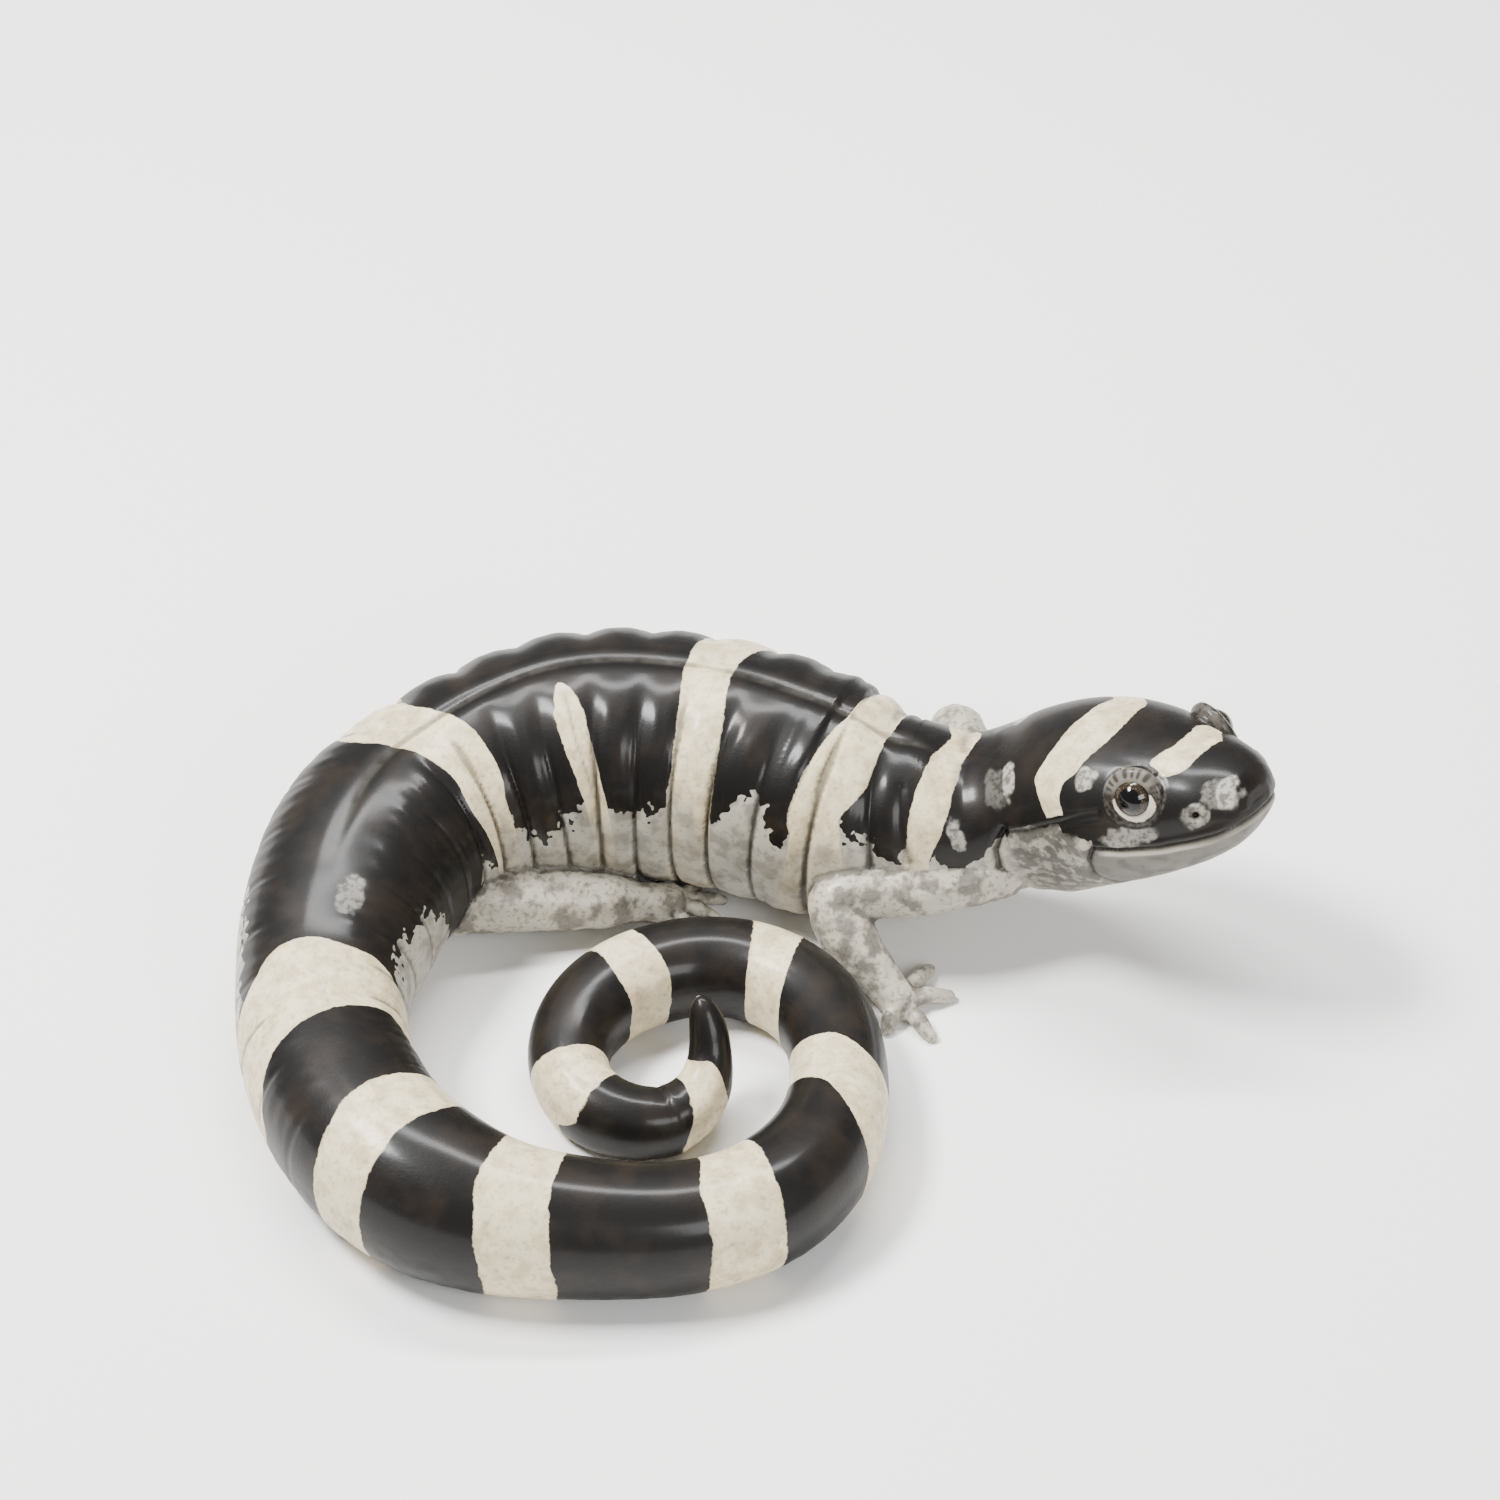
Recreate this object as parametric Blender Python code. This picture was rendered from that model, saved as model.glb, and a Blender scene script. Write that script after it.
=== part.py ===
# A ringed salamander at life size, resting with its tail coiled beside it and its head raised.
# Sizes are in millimetres and are scaled to metres as each mesh is made.
# The animal faces +X, its back is up and its right side is towards -Y.

import bmesh
import bpy
import math
from mathutils import Matrix, Vector

mm = 0.001
gap = 0.3               # clearance left between neighbouring pieces
weld = 0.004            # points nearer than this after a cut are merged
pressed = 0.3           # how far a resting belly or foot is flattened by the floor
frame_shift = Vector((-0.21, 4.0, 0.0))       # puts the origin under the middle of the outline

# The body is one swept tube. Every place on it is told by its distance behind the snout's tip.
body_length = 213.5
path_step = 0.5
anchor_at = 33.5                        # behind the arms, from which the path is laid out both ways
anchor = Vector((10.73, 8.18, 0.0))
anchor_heading = 163.0                  # direction from head to tail, degrees from +X

# How sharply the path turns, in degrees for each millimetre; positive is to the left, going tailwards.
turns = (
    (0, 0.0), (8, 0.0), (13, 2.6), (18, 3.1), (23, 1.3), (28, -1.2), (33.5, -2.1), (47.5, 2.0),
    (63.5, 2.2), (75.5, 3.9), (85.5, 1.0), (96.5, 2.3), (106.5, 2.1), (118.5, 4.1),
    (128.5, 0.6), (140.5, 4.7), (150.5, 3.7), (156.5, 1.8), (164.5, 5.5), (172.5, 6.4),
    (180.5, 4.4), (188.5, 6.8), (196.5, 10.1), (202.5, 10.6), (213.5, 10.6),
)

# Half the width, the height above the centre and the depth below it.
girths = (
    (0, 1.5, 1.1, 1.0), (0.4, 2.6, 1.9, 1.9), (1.2, 3.6, 2.6, 2.8), (2.5, 4.5, 3.4, 3.8),
    (4.5, 5.4, 4.2, 4.8), (7, 6.4, 5.1, 5.7), (10, 7.2, 5.9, 6.6), (13, 7.6, 6.4, 7.3),
    (16, 7.4, 6.4, 8.0), (19, 6.9, 5.9, 8.7), (22, 6.4, 5.0, 8.4), (25, 6.4, 5.1, 7.4),
    (27.5, 6.9, 7.0, 6.9), (32.5, 7.9, 8.2, 8.0), (36.5, 9.0, 9.4, 9.3), (42.5, 9.5, 9.9, 9.8),
    (51.5, 9.7, 10.0, 9.9), (59.5, 9.6, 10.0, 9.8), (65.5, 9.1, 9.4, 9.2),
    (71.5, 8.7, 8.7, 8.6), (79.5, 8.5, 8.4, 8.3), (87.5, 7.7, 7.5, 7.5), (94.5, 6.7, 6.8, 6.8),
    (105.5, 6.4, 6.6, 6.6), (116.5, 6.1, 6.3, 6.3), (124.5, 5.2, 5.5, 5.5),
    (132.5, 4.7, 5.0, 5.0), (145.5, 4.4, 4.7, 4.7), (157.5, 3.75, 4.1, 4.1),
    (172.5, 3.7, 3.95, 3.95), (183.5, 3.6, 3.9, 3.9), (191.5, 3.1, 3.4, 3.4),
    (199.5, 2.7, 2.9, 2.9), (204.5, 2.3, 2.5, 2.5), (208.5, 1.7, 1.9, 1.9),
    (212, 1.15, 1.25, 1.25), (213.2, 0.6, 0.65, 0.65), (213.5, 0.25, 0.25, 0.25),
)

# Heights of the centre where the body is held off the floor: the head and chest, and the tail's tip.
front_heights = (
    (0, 21.3), (7, 18.4), (13, 16.0), (17, 14.5), (21, 13.0), (25, 11.3), (29, 9.7), (33.5, 8.9), (39.5, 9.1),
)
tip_heights = ((202.5, 2.5), (205.5, 3.3), (208.5, 5.2), (211.5, 7.8), (213.5, 9.6))

# Costal folds: rounded rolls of the flank with a sharp groove between each two.
first_groove = 32.6
groove_spacing = 4.25
last_groove = 75.1
groove_depth = 0.4
groove_sharpness = 1.5
tail_groove_depth = 0.16                # the shallow folds at the root of the tail
tail_grooves_end = 115.5
back_groove_depth = 0.35                # the narrow furrow along the middle of the back
back_groove_ends = (27.5, 109.5)
back_groove_fades = (8.0, 12.0)
gular_fold = 23.4                       # the crease across the throat
gular_depth = 0.7
gular_width = 0.8
section_power = 2.15                    # 2 would be an ellipse, more is squarer
flank_edge = 0.1                        # the grooves fade out towards the back and the belly
crest = 0.9                             # sine of the angle above which the furrow of the back lies
body_sides = 24
tail_sides = 16
fold_rings = 4                          # rings of points for each costal fold
tail_ring_spacing = 2.4
cut_margin = 0.35                       # no ring is laid nearer than this to a cut
cutter_folds = (-4, 16)                 # reach of the grown body that cuts the limbs, in folds from the first

# Where the swept body is parted into nodes.
body_cuts = (
    ("neck", 19.0, 27.5), ("torso_chest", 27.5, 39.0), ("torso_front", 39.0, 49.5), ("torso_middle", 49.5, 60.0),
    ("torso_rear", 60.0, 70.5), ("pelvis", 70.5, 82.5), ("vent", 82.5, 94.5),
)
tail_cuts = (
    ("tail_root", 94.5, 106.5), ("tail_2", 106.5, 117.5), ("tail_3", 117.5, 129.5), ("tail_4", 129.5, 141.5),
    ("tail_5", 141.5, 153.5), ("tail_6", 153.5, 164.5), ("tail_7", 164.5, 174.5), ("tail_8", 174.5, 184.5),
    ("tail_9", 184.5, 193.5), ("tail_10", 193.5, 202.5), ("tail_tip", 202.5, 213.5),
)

# Head. Heights across the head are measured from its centreline, up being positive.
head_end = 19.0
snout_rings = (0.0, 0.35, 0.9, 1.6, 2.5, 3.5, 4.6)
head_ring_spacing = 1.2
lowest_mouth = 0.7                      # no lower on a section than this share of its depth
lip_angles = (-0.3, -0.14, 0.14, 0.3)   # around the section from the line of the mouth, in radians
sides_below = 5                         # sides of half a section below the lips
sides_above = 7
mouth_corner = 11.4                     # distance of the corners of the mouth behind the snout
mouth_line = ((-2, -0.9), (0.5, -1.0), (3, -1.25), (6, -1.4), (9, -1.3), (11.4, -0.95))
jaw_back = 12.9
jaw_drop = 3.8                          # depth of the upright back end of the jaw's own part
jaw_under = 11.0                        # the block that parts the jaw reaches this far down and to each side
jaw_front = 4.0
lip_swell = 0.22
eye_at = 7.2
eye_side = 5.05
eye_height = 2.6
eye_radius = 1.65
lid_radius = 2.3
lid_opening = 1.45
opening_depth = 1.3
opening_height = 1.23
gaze = (0.32, 0.9, 0.3)                 # forwards, to the side and up
nostril_at = 2.6
nostril_side = 4.4
nostril_height = 0.85
nostril_radius = 0.35
nostril_depth = 0.6

# Limbs: each row is a place along the limb and its radius there. A digit has a root and a tip radius.
limb_sides = 12
limb_steps = 3                          # rings of points between two rows
cap = ((0.9, 0.45), (0.55, 0.85))       # the rounded ends, in radii: how far out and how wide
digit_sides = 6
digit_steps = 2
digit_lift = 0.35
tip_height = 0.38
root_height = 0.7
palm_reach = 0.9
limbs = {
    "front_right": {
        "nodes": ("upper_arm_right", "forearm_right", "hand_right"),
        "root": ((19.6, 2.6, 8.3), 2.6), "middle": ((13.6, 0.3, 8.0), 2.15), "joint": ((7.1, 0.2, 7.3), 2.2),
        "shin": ((7.8, -2.0, 4.9), 2.3), "wrist": ((10.6, -4.3, 2.1), 1.6), "palm": ((11.6, -5.2, 1.1), 1.6),
        "digit": (0.72, 0.55), "tips": ((14.2, -1.1), (15.7, -4.0), (14.1, -8.4), (10.7, -7.6)),
    },
    "front_left": {
        "nodes": ("upper_arm_left", "forearm_left", "hand_left"),
        "root": ((18.4, 11.2, 9.0), 2.6), "middle": ((17.6, 14.8, 9.4), 2.3), "joint": ((16.9, 17.9, 9.2), 2.35),
        "shin": ((18.2, 19.2, 5.8), 2.1), "wrist": ((19.4, 20.2, 2.2), 1.6), "palm": ((20.6, 20.8, 1.1), 1.6),
        "digit": (0.72, 0.55), "tips": ((20.2, 25.0), (23.4, 23.8), (25.0, 20.9), (23.0, 17.9)),
    },
    "hind_right": {
        "nodes": ("thigh_right", "shank_right", "foot_right"),
        "root": ((-27.5, 2.4, 4.8), 3.3), "middle": ((-21.0, 3.4, 4.1), 2.8), "joint": ((-15.6, 4.0, 3.4), 2.5),
        "shin": ((-12.2, 4.5, 2.9), 2.3), "wrist": ((-8.7, 5.4, 1.9), 1.6), "palm": ((-6.6, 6.2, 1.1), 1.6),
        "digit": (0.62, 0.42), "tips": ((-7.4, 8.9), (-4.2, 8.5), (-2.2, 7.2), (-2.8, 5.2), (-4.8, 3.3)),
    },
    "hind_left": {
        "nodes": ("thigh_left", "shank_left", "foot_left"),
        "root": ((-31.0, 8.4, 4.6), 3.2), "middle": ((-34.2, 12.8, 3.9), 2.6), "joint": ((-34.2, 17.4, 3.0), 2.3),
        "shin": ((-32.2, 20.2, 2.6), 2.1), "wrist": ((-29.6, 22.6, 1.9), 1.6), "palm": ((-27.8, 24.0, 1.1), 1.6),
        "digit": (0.62, 0.42), "tips": ((-29.6, 27.8), (-26.6, 29.0), (-24.0, 27.8), (-23.0, 25.3), (-24.4, 23.0)),
    },
}

dark_skin = (0.012, 0.010, 0.009, 1.0)
pale_skin = (0.42, 0.36, 0.25, 1.0)
eye_color = (0.02, 0.012, 0.006, 1.0)
moist = 0.35                            # roughness of the skin and of the eyes
wet = 0.08


def smooth_curve(stops, at, column=1):
    """Value at one place on a smooth curve through rows of stops."""
    rows = [(row[0], row[column]) for row in stops]
    if at <= rows[0][0]:
        return rows[0][1]
    if at >= rows[-1][0]:
        return rows[-1][1]
    index = max(i for i in range(len(rows) - 1) if rows[i][0] <= at)
    (x0, y0), (x1, y1) = rows[index], rows[index + 1]
    rise = (y1 - y0) / (x1 - x0)
    before = rise
    after = rise
    if index > 0:
        before = (rise + (y0 - rows[index - 1][1]) / (x0 - rows[index - 1][0])) / 2
    if index < len(rows) - 2:
        after = (rise + (rows[index + 2][1] - y1) / (rows[index + 2][0] - x1)) / 2
    t = (at - x0) / (x1 - x0)
    width = x1 - x0
    return (
        (2 * t ** 3 - 3 * t ** 2 + 1) * y0 + (t ** 3 - 2 * t ** 2 + t) * width * before
        + (3 * t ** 2 - 2 * t ** 3) * y1 + (t ** 3 - t ** 2) * width * after
    )


def straight_curve(stops, at):
    """Value at one place on straight lines through rows of stops."""
    for (x0, y0), (x1, y1) in zip(stops, stops[1:]):
        if at <= x1:
            return y0 + (y1 - y0) * max(0.0, (at - x0) / (x1 - x0))
    return stops[-1][1]


def centre_height(at):
    """Height of the body's centre over the floor."""
    if at < front_heights[-1][0]:
        return smooth_curve(front_heights, at)
    if at > tip_heights[0][0]:
        return smooth_curve(tip_heights, at)
    return smooth_curve(girths, at, 3) - pressed


def lay_out_path():
    """Points of the centreline at every step from the snout to the tail's tip."""
    count = round(body_length / path_step)
    start = round(anchor_at / path_step)
    heights = [centre_height(i * path_step) for i in range(count + 1)]
    points = {start: Vector((anchor.x, anchor.y, heights[start]))}
    for direction in (1, -1):
        heading = anchor_heading
        index = start
        while 0 <= index + direction <= count:
            middle = (index + direction / 2) * path_step
            rise = heights[index + direction] - heights[index]
            run = math.sqrt(max(path_step ** 2 - rise ** 2, 0.0))
            heading += straight_curve(turns, middle) * path_step * direction / 2
            angle = math.radians(heading)
            step = Vector((math.cos(angle) * run, math.sin(angle) * run, 0.0)) * direction
            heading += straight_curve(turns, middle) * path_step * direction / 2
            points[index + direction] = points[index] + step
            index += direction
            points[index].z = heights[index]
    return [points[i] + frame_shift for i in range(count + 1)]


path = lay_out_path()


def path_point(at):
    """Point of the centreline; beyond its ends the path runs straight on."""
    place = min(max(at / path_step, 0.0), len(path) - 1.001)
    index = int(place)
    point = path[index].lerp(path[index + 1], place - index)
    beyond = at - min(max(at, 0.0), body_length)
    return point + (path[index + 1] - path[index]).normalized() * beyond


def path_axes(at):
    """Directions at a place: forwards, to the animal's right, and up."""
    reach = 1.5
    forward = (path_point(at - reach) - path_point(at + reach)).normalized()
    side = forward.cross(Vector((0, 0, 1))).normalized()
    return forward, side, side.cross(forward)


def body_place(at, side, height):
    """Point of the body's own frame: so far behind the snout, to the right, and up."""
    across = path_axes(at)
    return path_point(at) + across[1] * side + across[2] * height


def groove_strength(at):
    """1 in the bottom of a costal groove and 0 on the crest of the fold between two."""
    if at < first_groove - groove_spacing or at > tail_grooves_end:
        return 0.0
    phase = (at - first_groove) / groove_spacing
    return (1.0 - abs(math.sin(math.pi * phase))) ** groove_sharpness


def section_point(at, angle, grow=0.0):
    """Point of the body's skin at a distance behind the snout and an angle up from its right side."""
    width = smooth_curve(girths, at, 1) + grow
    height = smooth_curve(girths, at, 2 if math.sin(angle) > 0 else 3) + grow
    roundness = 2 / section_power
    side = width * math.copysign(abs(math.cos(angle)) ** roundness, math.cos(angle))
    up = height * math.copysign(abs(math.sin(angle)) ** roundness, math.sin(angle))
    flank = max(0.0, math.cos(angle) ** 2 - flank_edge) ** 0.5
    depth = groove_depth if at < last_groove + 1 else tail_groove_depth
    inset = depth * groove_strength(at) * flank
    start, end = back_groove_ends
    fade = min(1.0, (at - start) / back_groove_fades[0], (end - at) / back_groove_fades[1])
    if fade > 0 and math.sin(angle) > crest:
        inset += back_groove_depth * fade * (math.sin(angle) - crest) / (1 - crest)
    if math.sin(angle) < 0:
        inset -= gular_depth * math.sin(angle) * math.exp(-((at - gular_fold) / gular_width) ** 2)
    shrink = 1 - inset / max(width, height)
    point = body_place(at, side * shrink, up * shrink)
    if grow == 0.0:
        point.z = max(point.z, 0.0)
    return point


def mesh_object(name, bm, color, roughness=moist):
    """Make an object of a mesh whose sizes are in millimetres."""
    bmesh.ops.recalc_face_normals(bm, faces=bm.faces)
    if bm.calc_volume(signed=True) < 0:
        bmesh.ops.reverse_faces(bm, faces=bm.faces)
    bmesh.ops.scale(bm, vec=(mm, mm, mm), verts=bm.verts)
    mesh = bpy.data.meshes.new(name)
    bm.to_mesh(mesh)
    bm.free()
    mesh.shade_smooth()
    obj = bpy.data.objects.new(name, mesh)
    parts.objects.link(obj)
    material = bpy.data.materials.new(name + "_finish")
    material.use_nodes = True
    shader = material.node_tree.nodes["Principled BSDF"]
    shader.inputs["Base Color"].default_value = color
    shader.inputs["Roughness"].default_value = roughness
    mesh.materials.append(material)
    return obj


def loft(rings):
    """Closed mesh through rings of points, with a fan over each end."""
    bm = bmesh.new()
    loops = [[bm.verts.new(point) for point in ring] for ring in rings]
    sides = len(loops[0])
    for first, second in zip(loops, loops[1:]):
        for i in range(sides):
            j = (i + 1) % sides
            bm.faces.new((first[i], first[j], second[j], second[i]))
    for loop in (loops[0], loops[-1]):
        middle = bm.verts.new(sum((v.co for v in loop), Vector()) / sides)
        for i in range(sides):
            bm.faces.new((loop[i], loop[(i + 1) % sides], middle))
    return bm


def body_stations(start, end):
    """Places of the rings between two cuts: several for each costal fold, wider apart on the tail."""
    if start < last_groove:
        spacing = groove_spacing / fold_rings
        first = math.ceil((start - first_groove) / spacing)
        inner = [first_groove + (first + i) * spacing for i in range(round((end - start) / spacing))]
    else:
        count = round((end - start) / tail_ring_spacing)
        inner = [start + (end - start) * i / count for i in range(1, count)]
    inner = [at for at in inner if start + cut_margin < at < end - cut_margin]
    return [start + gap / 2] + inner + [end - gap / 2]


def swept_piece(name, start, end, sides, color):
    """One length of the body or tail."""
    rings = []
    for at in body_stations(start, end):
        at = min(at, body_length)
        rings.append([section_point(at, 2 * math.pi * i / sides) for i in range(sides)])
    return mesh_object(name, loft(rings), color)


def round_limb(points, sides=limb_sides, steps=limb_steps):
    """Tapering tube through rows of a point and a radius, ending in rounded caps."""
    places = [Vector(row[0]) + frame_shift for row in points]
    radii = [row[1] for row in points]
    line = []
    for i in range(len(places) - 1):
        before = places[max(i - 1, 0)]
        after = places[min(i + 2, len(places) - 1)]
        for k in range(steps):
            t = k / steps
            a, b = places[i], places[i + 1]
            start_slope = (b - before) / 2
            end_slope = (after - a) / 2
            point = (
                a * (2 * t ** 3 - 3 * t ** 2 + 1) + start_slope * (t ** 3 - 2 * t ** 2 + t)
                + b * (3 * t ** 2 - 2 * t ** 3) + end_slope * (t ** 3 - t ** 2)
            )
            line.append((point, radii[i] + (radii[i + 1] - radii[i]) * t))
    line.append((places[-1], radii[-1]))
    first = (line[0][0] - line[1][0]).normalized()
    last = (line[-1][0] - line[-2][0]).normalized()
    start_cap = [(line[0][0] + first * line[0][1] * out, line[0][1] * size) for out, size in cap]
    end_cap = [(line[-1][0] + last * line[-1][1] * out, line[-1][1] * size) for out, size in reversed(cap)]
    line = start_cap + line + end_cap
    rings = []
    across = None
    for i, (point, radius) in enumerate(line):
        along = (line[min(i + 1, len(line) - 1)][0] - line[max(i - 1, 0)][0]).normalized()
        if across is None:
            across = along.orthogonal().normalized()
        across = (across - along * across.dot(along)).normalized()
        other = along.cross(across)
        ring = []
        for k in range(sides):
            angle = 2 * math.pi * k / sides
            ring.append(point + (across * math.cos(angle) + other * math.sin(angle)) * radius)
        rings.append(ring)
    return loft(rings)


def helper_object(name, bm):
    """Mesh object used only to cut or join, kept out of the model."""
    obj = mesh_object(name, bm, dark_skin)
    parts.objects.unlink(obj)
    cutters.objects.link(obj)
    obj.hide_render = True
    obj.display_type = "WIRE"
    return obj


def apply_boolean(obj, operation, helpers, solver="EXACT"):
    """Join or cut an object with a list of helpers, then remove them."""
    group = bpy.data.collections.new(obj.name + "_helpers")
    for helper in helpers:
        group.objects.link(helper)
    modifier = obj.modifiers.new(operation.lower(), "BOOLEAN")
    modifier.operation = operation
    modifier.operand_type = "COLLECTION"
    modifier.collection = group
    modifier.solver = solver
    depsgraph = bpy.context.evaluated_depsgraph_get()
    mesh = bpy.data.meshes.new_from_object(obj.evaluated_get(depsgraph))
    obj.modifiers.clear()
    old = obj.data
    obj.data = mesh
    bpy.data.meshes.remove(old)
    for helper in helpers:
        bpy.data.objects.remove(helper)
    bpy.data.collections.remove(group)
    keep_largest(obj)


def keep_largest(obj):
    """Keep only the largest closed surface of an object."""
    bm = bmesh.new()
    bm.from_mesh(obj.data)
    bmesh.ops.remove_doubles(bm, verts=bm.verts, dist=weld * mm)
    bmesh.ops.dissolve_degenerate(bm, dist=weld * mm, edges=bm.edges)
    unseen = set(bm.faces)
    islands = []
    while unseen:
        front = [unseen.pop()]
        island = list(front)
        while front:
            face = front.pop()
            for edge in face.edges:
                for other in edge.link_faces:
                    if other in unseen:
                        unseen.remove(other)
                        island.append(other)
                        front.append(other)
        islands.append(island)
    islands.sort(key=lambda faces: sum(face.calc_area() for face in faces))
    scraps = [face for island in islands[:-1] for face in island]
    bmesh.ops.delete(bm, geom=scraps, context="FACES")
    loose = [vert for vert in bm.verts if not vert.link_faces]
    bmesh.ops.delete(bm, geom=loose, context="VERTS")
    bmesh.ops.triangulate(bm, faces=bm.faces)
    bm.to_mesh(obj.data)
    bm.free()


def cut_flat(bm, point, normal):
    """Cut a mesh off at a plane, keep the side that the normal points away from, and close it."""
    found = bmesh.ops.bisect_plane(
        bm, geom=bm.verts[:] + bm.edges[:] + bm.faces[:], plane_co=point, plane_no=normal, clear_outer=True
    )
    edges = [item for item in found["geom_cut"] if isinstance(item, bmesh.types.BMEdge)]
    if edges:
        bmesh.ops.triangle_fill(bm, edges=edges, use_beauty=True)


def solid_ball(center, axes, sizes, segments=20, rings=12):
    """Ellipsoid with its half sizes along three directions."""
    bm = bmesh.new()
    bmesh.ops.create_uvsphere(bm, u_segments=segments, v_segments=rings, radius=1.0)
    turn = Matrix([axes[k] for k in range(3)]).transposed()
    for vert in bm.verts:
        vert.co = center + turn @ Vector([vert.co[k] * sizes[k] for k in range(3)])
    return bm


def jaw_block(grow):
    """Block under the line of the mouth, which parts the lower jaw from the head."""
    outline = [(-jaw_front, mouth_line[0][1] + grow)] + [(at, height + grow) for at, height in mouth_line[1:]]
    outline += [(jaw_back + grow, -jaw_drop), (jaw_back + grow, -jaw_under), (-jaw_front, -jaw_under)]
    return loft([[body_place(at, side, height) for at, height in outline] for side in (-jaw_under, jaw_under)])


def eye_axes(side):
    """Directions of one eye: along its gaze, level across it, and up."""
    forward, right, up = path_axes(eye_at)
    look = (forward * gaze[0] + right * side * gaze[1] + up * gaze[2]).normalized()
    level = up.cross(look).normalized()
    return look, level, look.cross(level)


def head_ring(at):
    """Ring of the head, crowded at the line of the mouth and swollen there into two lips."""
    mouth = -math.asin(min(lowest_mouth, -straight_curve(mouth_line, at) / smooth_curve(girths, at, 3)))
    low, high = mouth + lip_angles[0], mouth + lip_angles[-1]
    quarter = math.pi / 2
    angles = [-quarter + (low + quarter) * i / sides_below for i in range(1, sides_below)]
    angles += [mouth + turn for turn in lip_angles]
    angles += [high + (quarter - high) * i / sides_above for i in range(1, sides_above)]
    swell = lip_swell if at < mouth_corner else 0.0
    grown = [swell if low < angle < high else 0.0 for angle in angles]
    rows = list(zip(angles, grown))
    right = [section_point(at, angle, grow) for angle, grow in rows]
    left = [section_point(at, math.pi - angle, grow) for angle, grow in reversed(rows)]
    return [section_point(at, -quarter)] + right + [section_point(at, quarter)] + left


def make_head():
    """Head with lids, nostrils and the line of the mouth; lower jaw; and both eyes."""
    stations = list(snout_rings)
    while stations[-1] + 2 * head_ring_spacing < head_end:
        stations.append(stations[-1] + head_ring_spacing)
    rings = [head_ring(at) for at in stations + [head_end - gap / 2]]
    head = mesh_object("head", loft(rings), dark_skin)
    jaw = mesh_object("lower_jaw", loft(rings), pale_skin)
    apply_boolean(jaw, "INTERSECT", [helper_object("jaw_part", jaw_block(-gap / 2))])
    apply_boolean(head, "DIFFERENCE", [helper_object("jaw_clear", jaw_block(gap / 2))])
    lids = []
    sockets = []
    for name, side in (("eye_right", 1), ("eye_left", -1)):
        center = body_place(eye_at, side * eye_side, eye_height)
        axes = eye_axes(side)
        lids.append(helper_object("lid", solid_ball(center, axes, (lid_radius,) * 3)))
        sockets.append(helper_object("socket", solid_ball(center, axes, (eye_radius + gap,) * 3)))
        opening = solid_ball(center + axes[0] * lid_radius, axes, (opening_depth, lid_opening, opening_height))
        sockets.append(helper_object("opening", opening))
        mesh_object(name, solid_ball(center, axes, (eye_radius,) * 3), eye_color, wet)
        nostril = body_place(nostril_at, side * nostril_side, nostril_height)
        hole = solid_ball(nostril, axes, (nostril_depth, nostril_radius, nostril_radius), 8, 6)
        sockets.append(helper_object("nostril", hole))
    apply_boolean(head, "UNION", lids)
    apply_boolean(head, "DIFFERENCE", sockets)


def plane_between(first, middle, last):
    """Normal of the plane that halves the bend at a joint."""
    return ((middle - first).normalized() + (last - middle).normalized()).normalized()


def digit(root, tip, thick, thin):
    """One finger or toe: raised at its middle and laid down at its tip."""
    middle = root.lerp(tip, 0.5) + Vector((0, 0, digit_lift))
    return round_limb(((root, thick), (middle, (thick + thin) / 2), (tip, thin)), digit_sides, digit_steps)


def make_limb(name, limb):
    """Upper length, lower length and the hand or foot of one limb."""
    root, joint, wrist, palm = [Vector(limb[key][0]) for key in ("root", "joint", "wrist", "palm")]
    middle = Vector(limb["middle"][0])
    bend = plane_between(middle, joint, wrist)
    wrist_turn = plane_between(joint, wrist, palm)
    upper = round_limb((limb["root"], limb["middle"], limb["joint"]))
    cut_flat(upper, joint + frame_shift - bend * gap / 2, bend)
    upper_object = mesh_object(limb["nodes"][0], upper, pale_skin)
    apply_boolean(upper_object, "DIFFERENCE", [body_cutter()])
    lower = round_limb((limb["joint"], limb["shin"], limb["wrist"]))
    cut_flat(lower, joint + frame_shift + bend * gap / 2, -bend)
    cut_flat(lower, wrist + frame_shift - wrist_turn * gap / 2, wrist_turn)
    lower_object = mesh_object(limb["nodes"][1], lower, pale_skin)
    apply_boolean(lower_object, "DIFFERENCE", [body_cutter()])
    thick, thin = limb["digit"]
    rings = round_limb((limb["wrist"], limb["palm"]))
    hand = mesh_object(limb["nodes"][2], rings, pale_skin)
    digits = []
    for x, y in limb["tips"]:
        tip = Vector((x, y, tip_height))
        start = palm + (tip - palm).normalized() * palm_reach
        start.z = root_height
        digits.append(helper_object("digit", digit(start, tip, thick, thin)))
    apply_boolean(hand, "UNION", digits)
    trimmed = bmesh.new()
    trimmed.from_mesh(hand.data)
    cut_flat(trimmed, Vector((0, 0, 0)), Vector((0, 0, -1)))
    cut_flat(trimmed, (wrist + frame_shift + wrist_turn * gap / 2) * mm, -wrist_turn)
    bmesh.ops.recalc_face_normals(trimmed, faces=trimmed.faces)
    trimmed.to_mesh(hand.data)
    trimmed.free()
    keep_largest(hand)


def body_cutter():
    """The body grown by the clearance, which cuts the roots of the limbs."""
    first, last = [count * fold_rings for count in cutter_folds]
    stations = [first_groove + groove_spacing / fold_rings * i for i in range(first, last + 1)]
    rings = [[section_point(at, 2 * math.pi * i / body_sides, gap) for i in range(body_sides)] for at in stations]
    return helper_object("body_grown", loft(rings))


def build():
    make_head()
    for name, start, end in body_cuts:
        swept_piece(name, start, end, body_sides, dark_skin)
    for name, start, end in tail_cuts:
        swept_piece(name, start, end, tail_sides, dark_skin)
    for name, limb in limbs.items():
        make_limb(name, limb)


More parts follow.
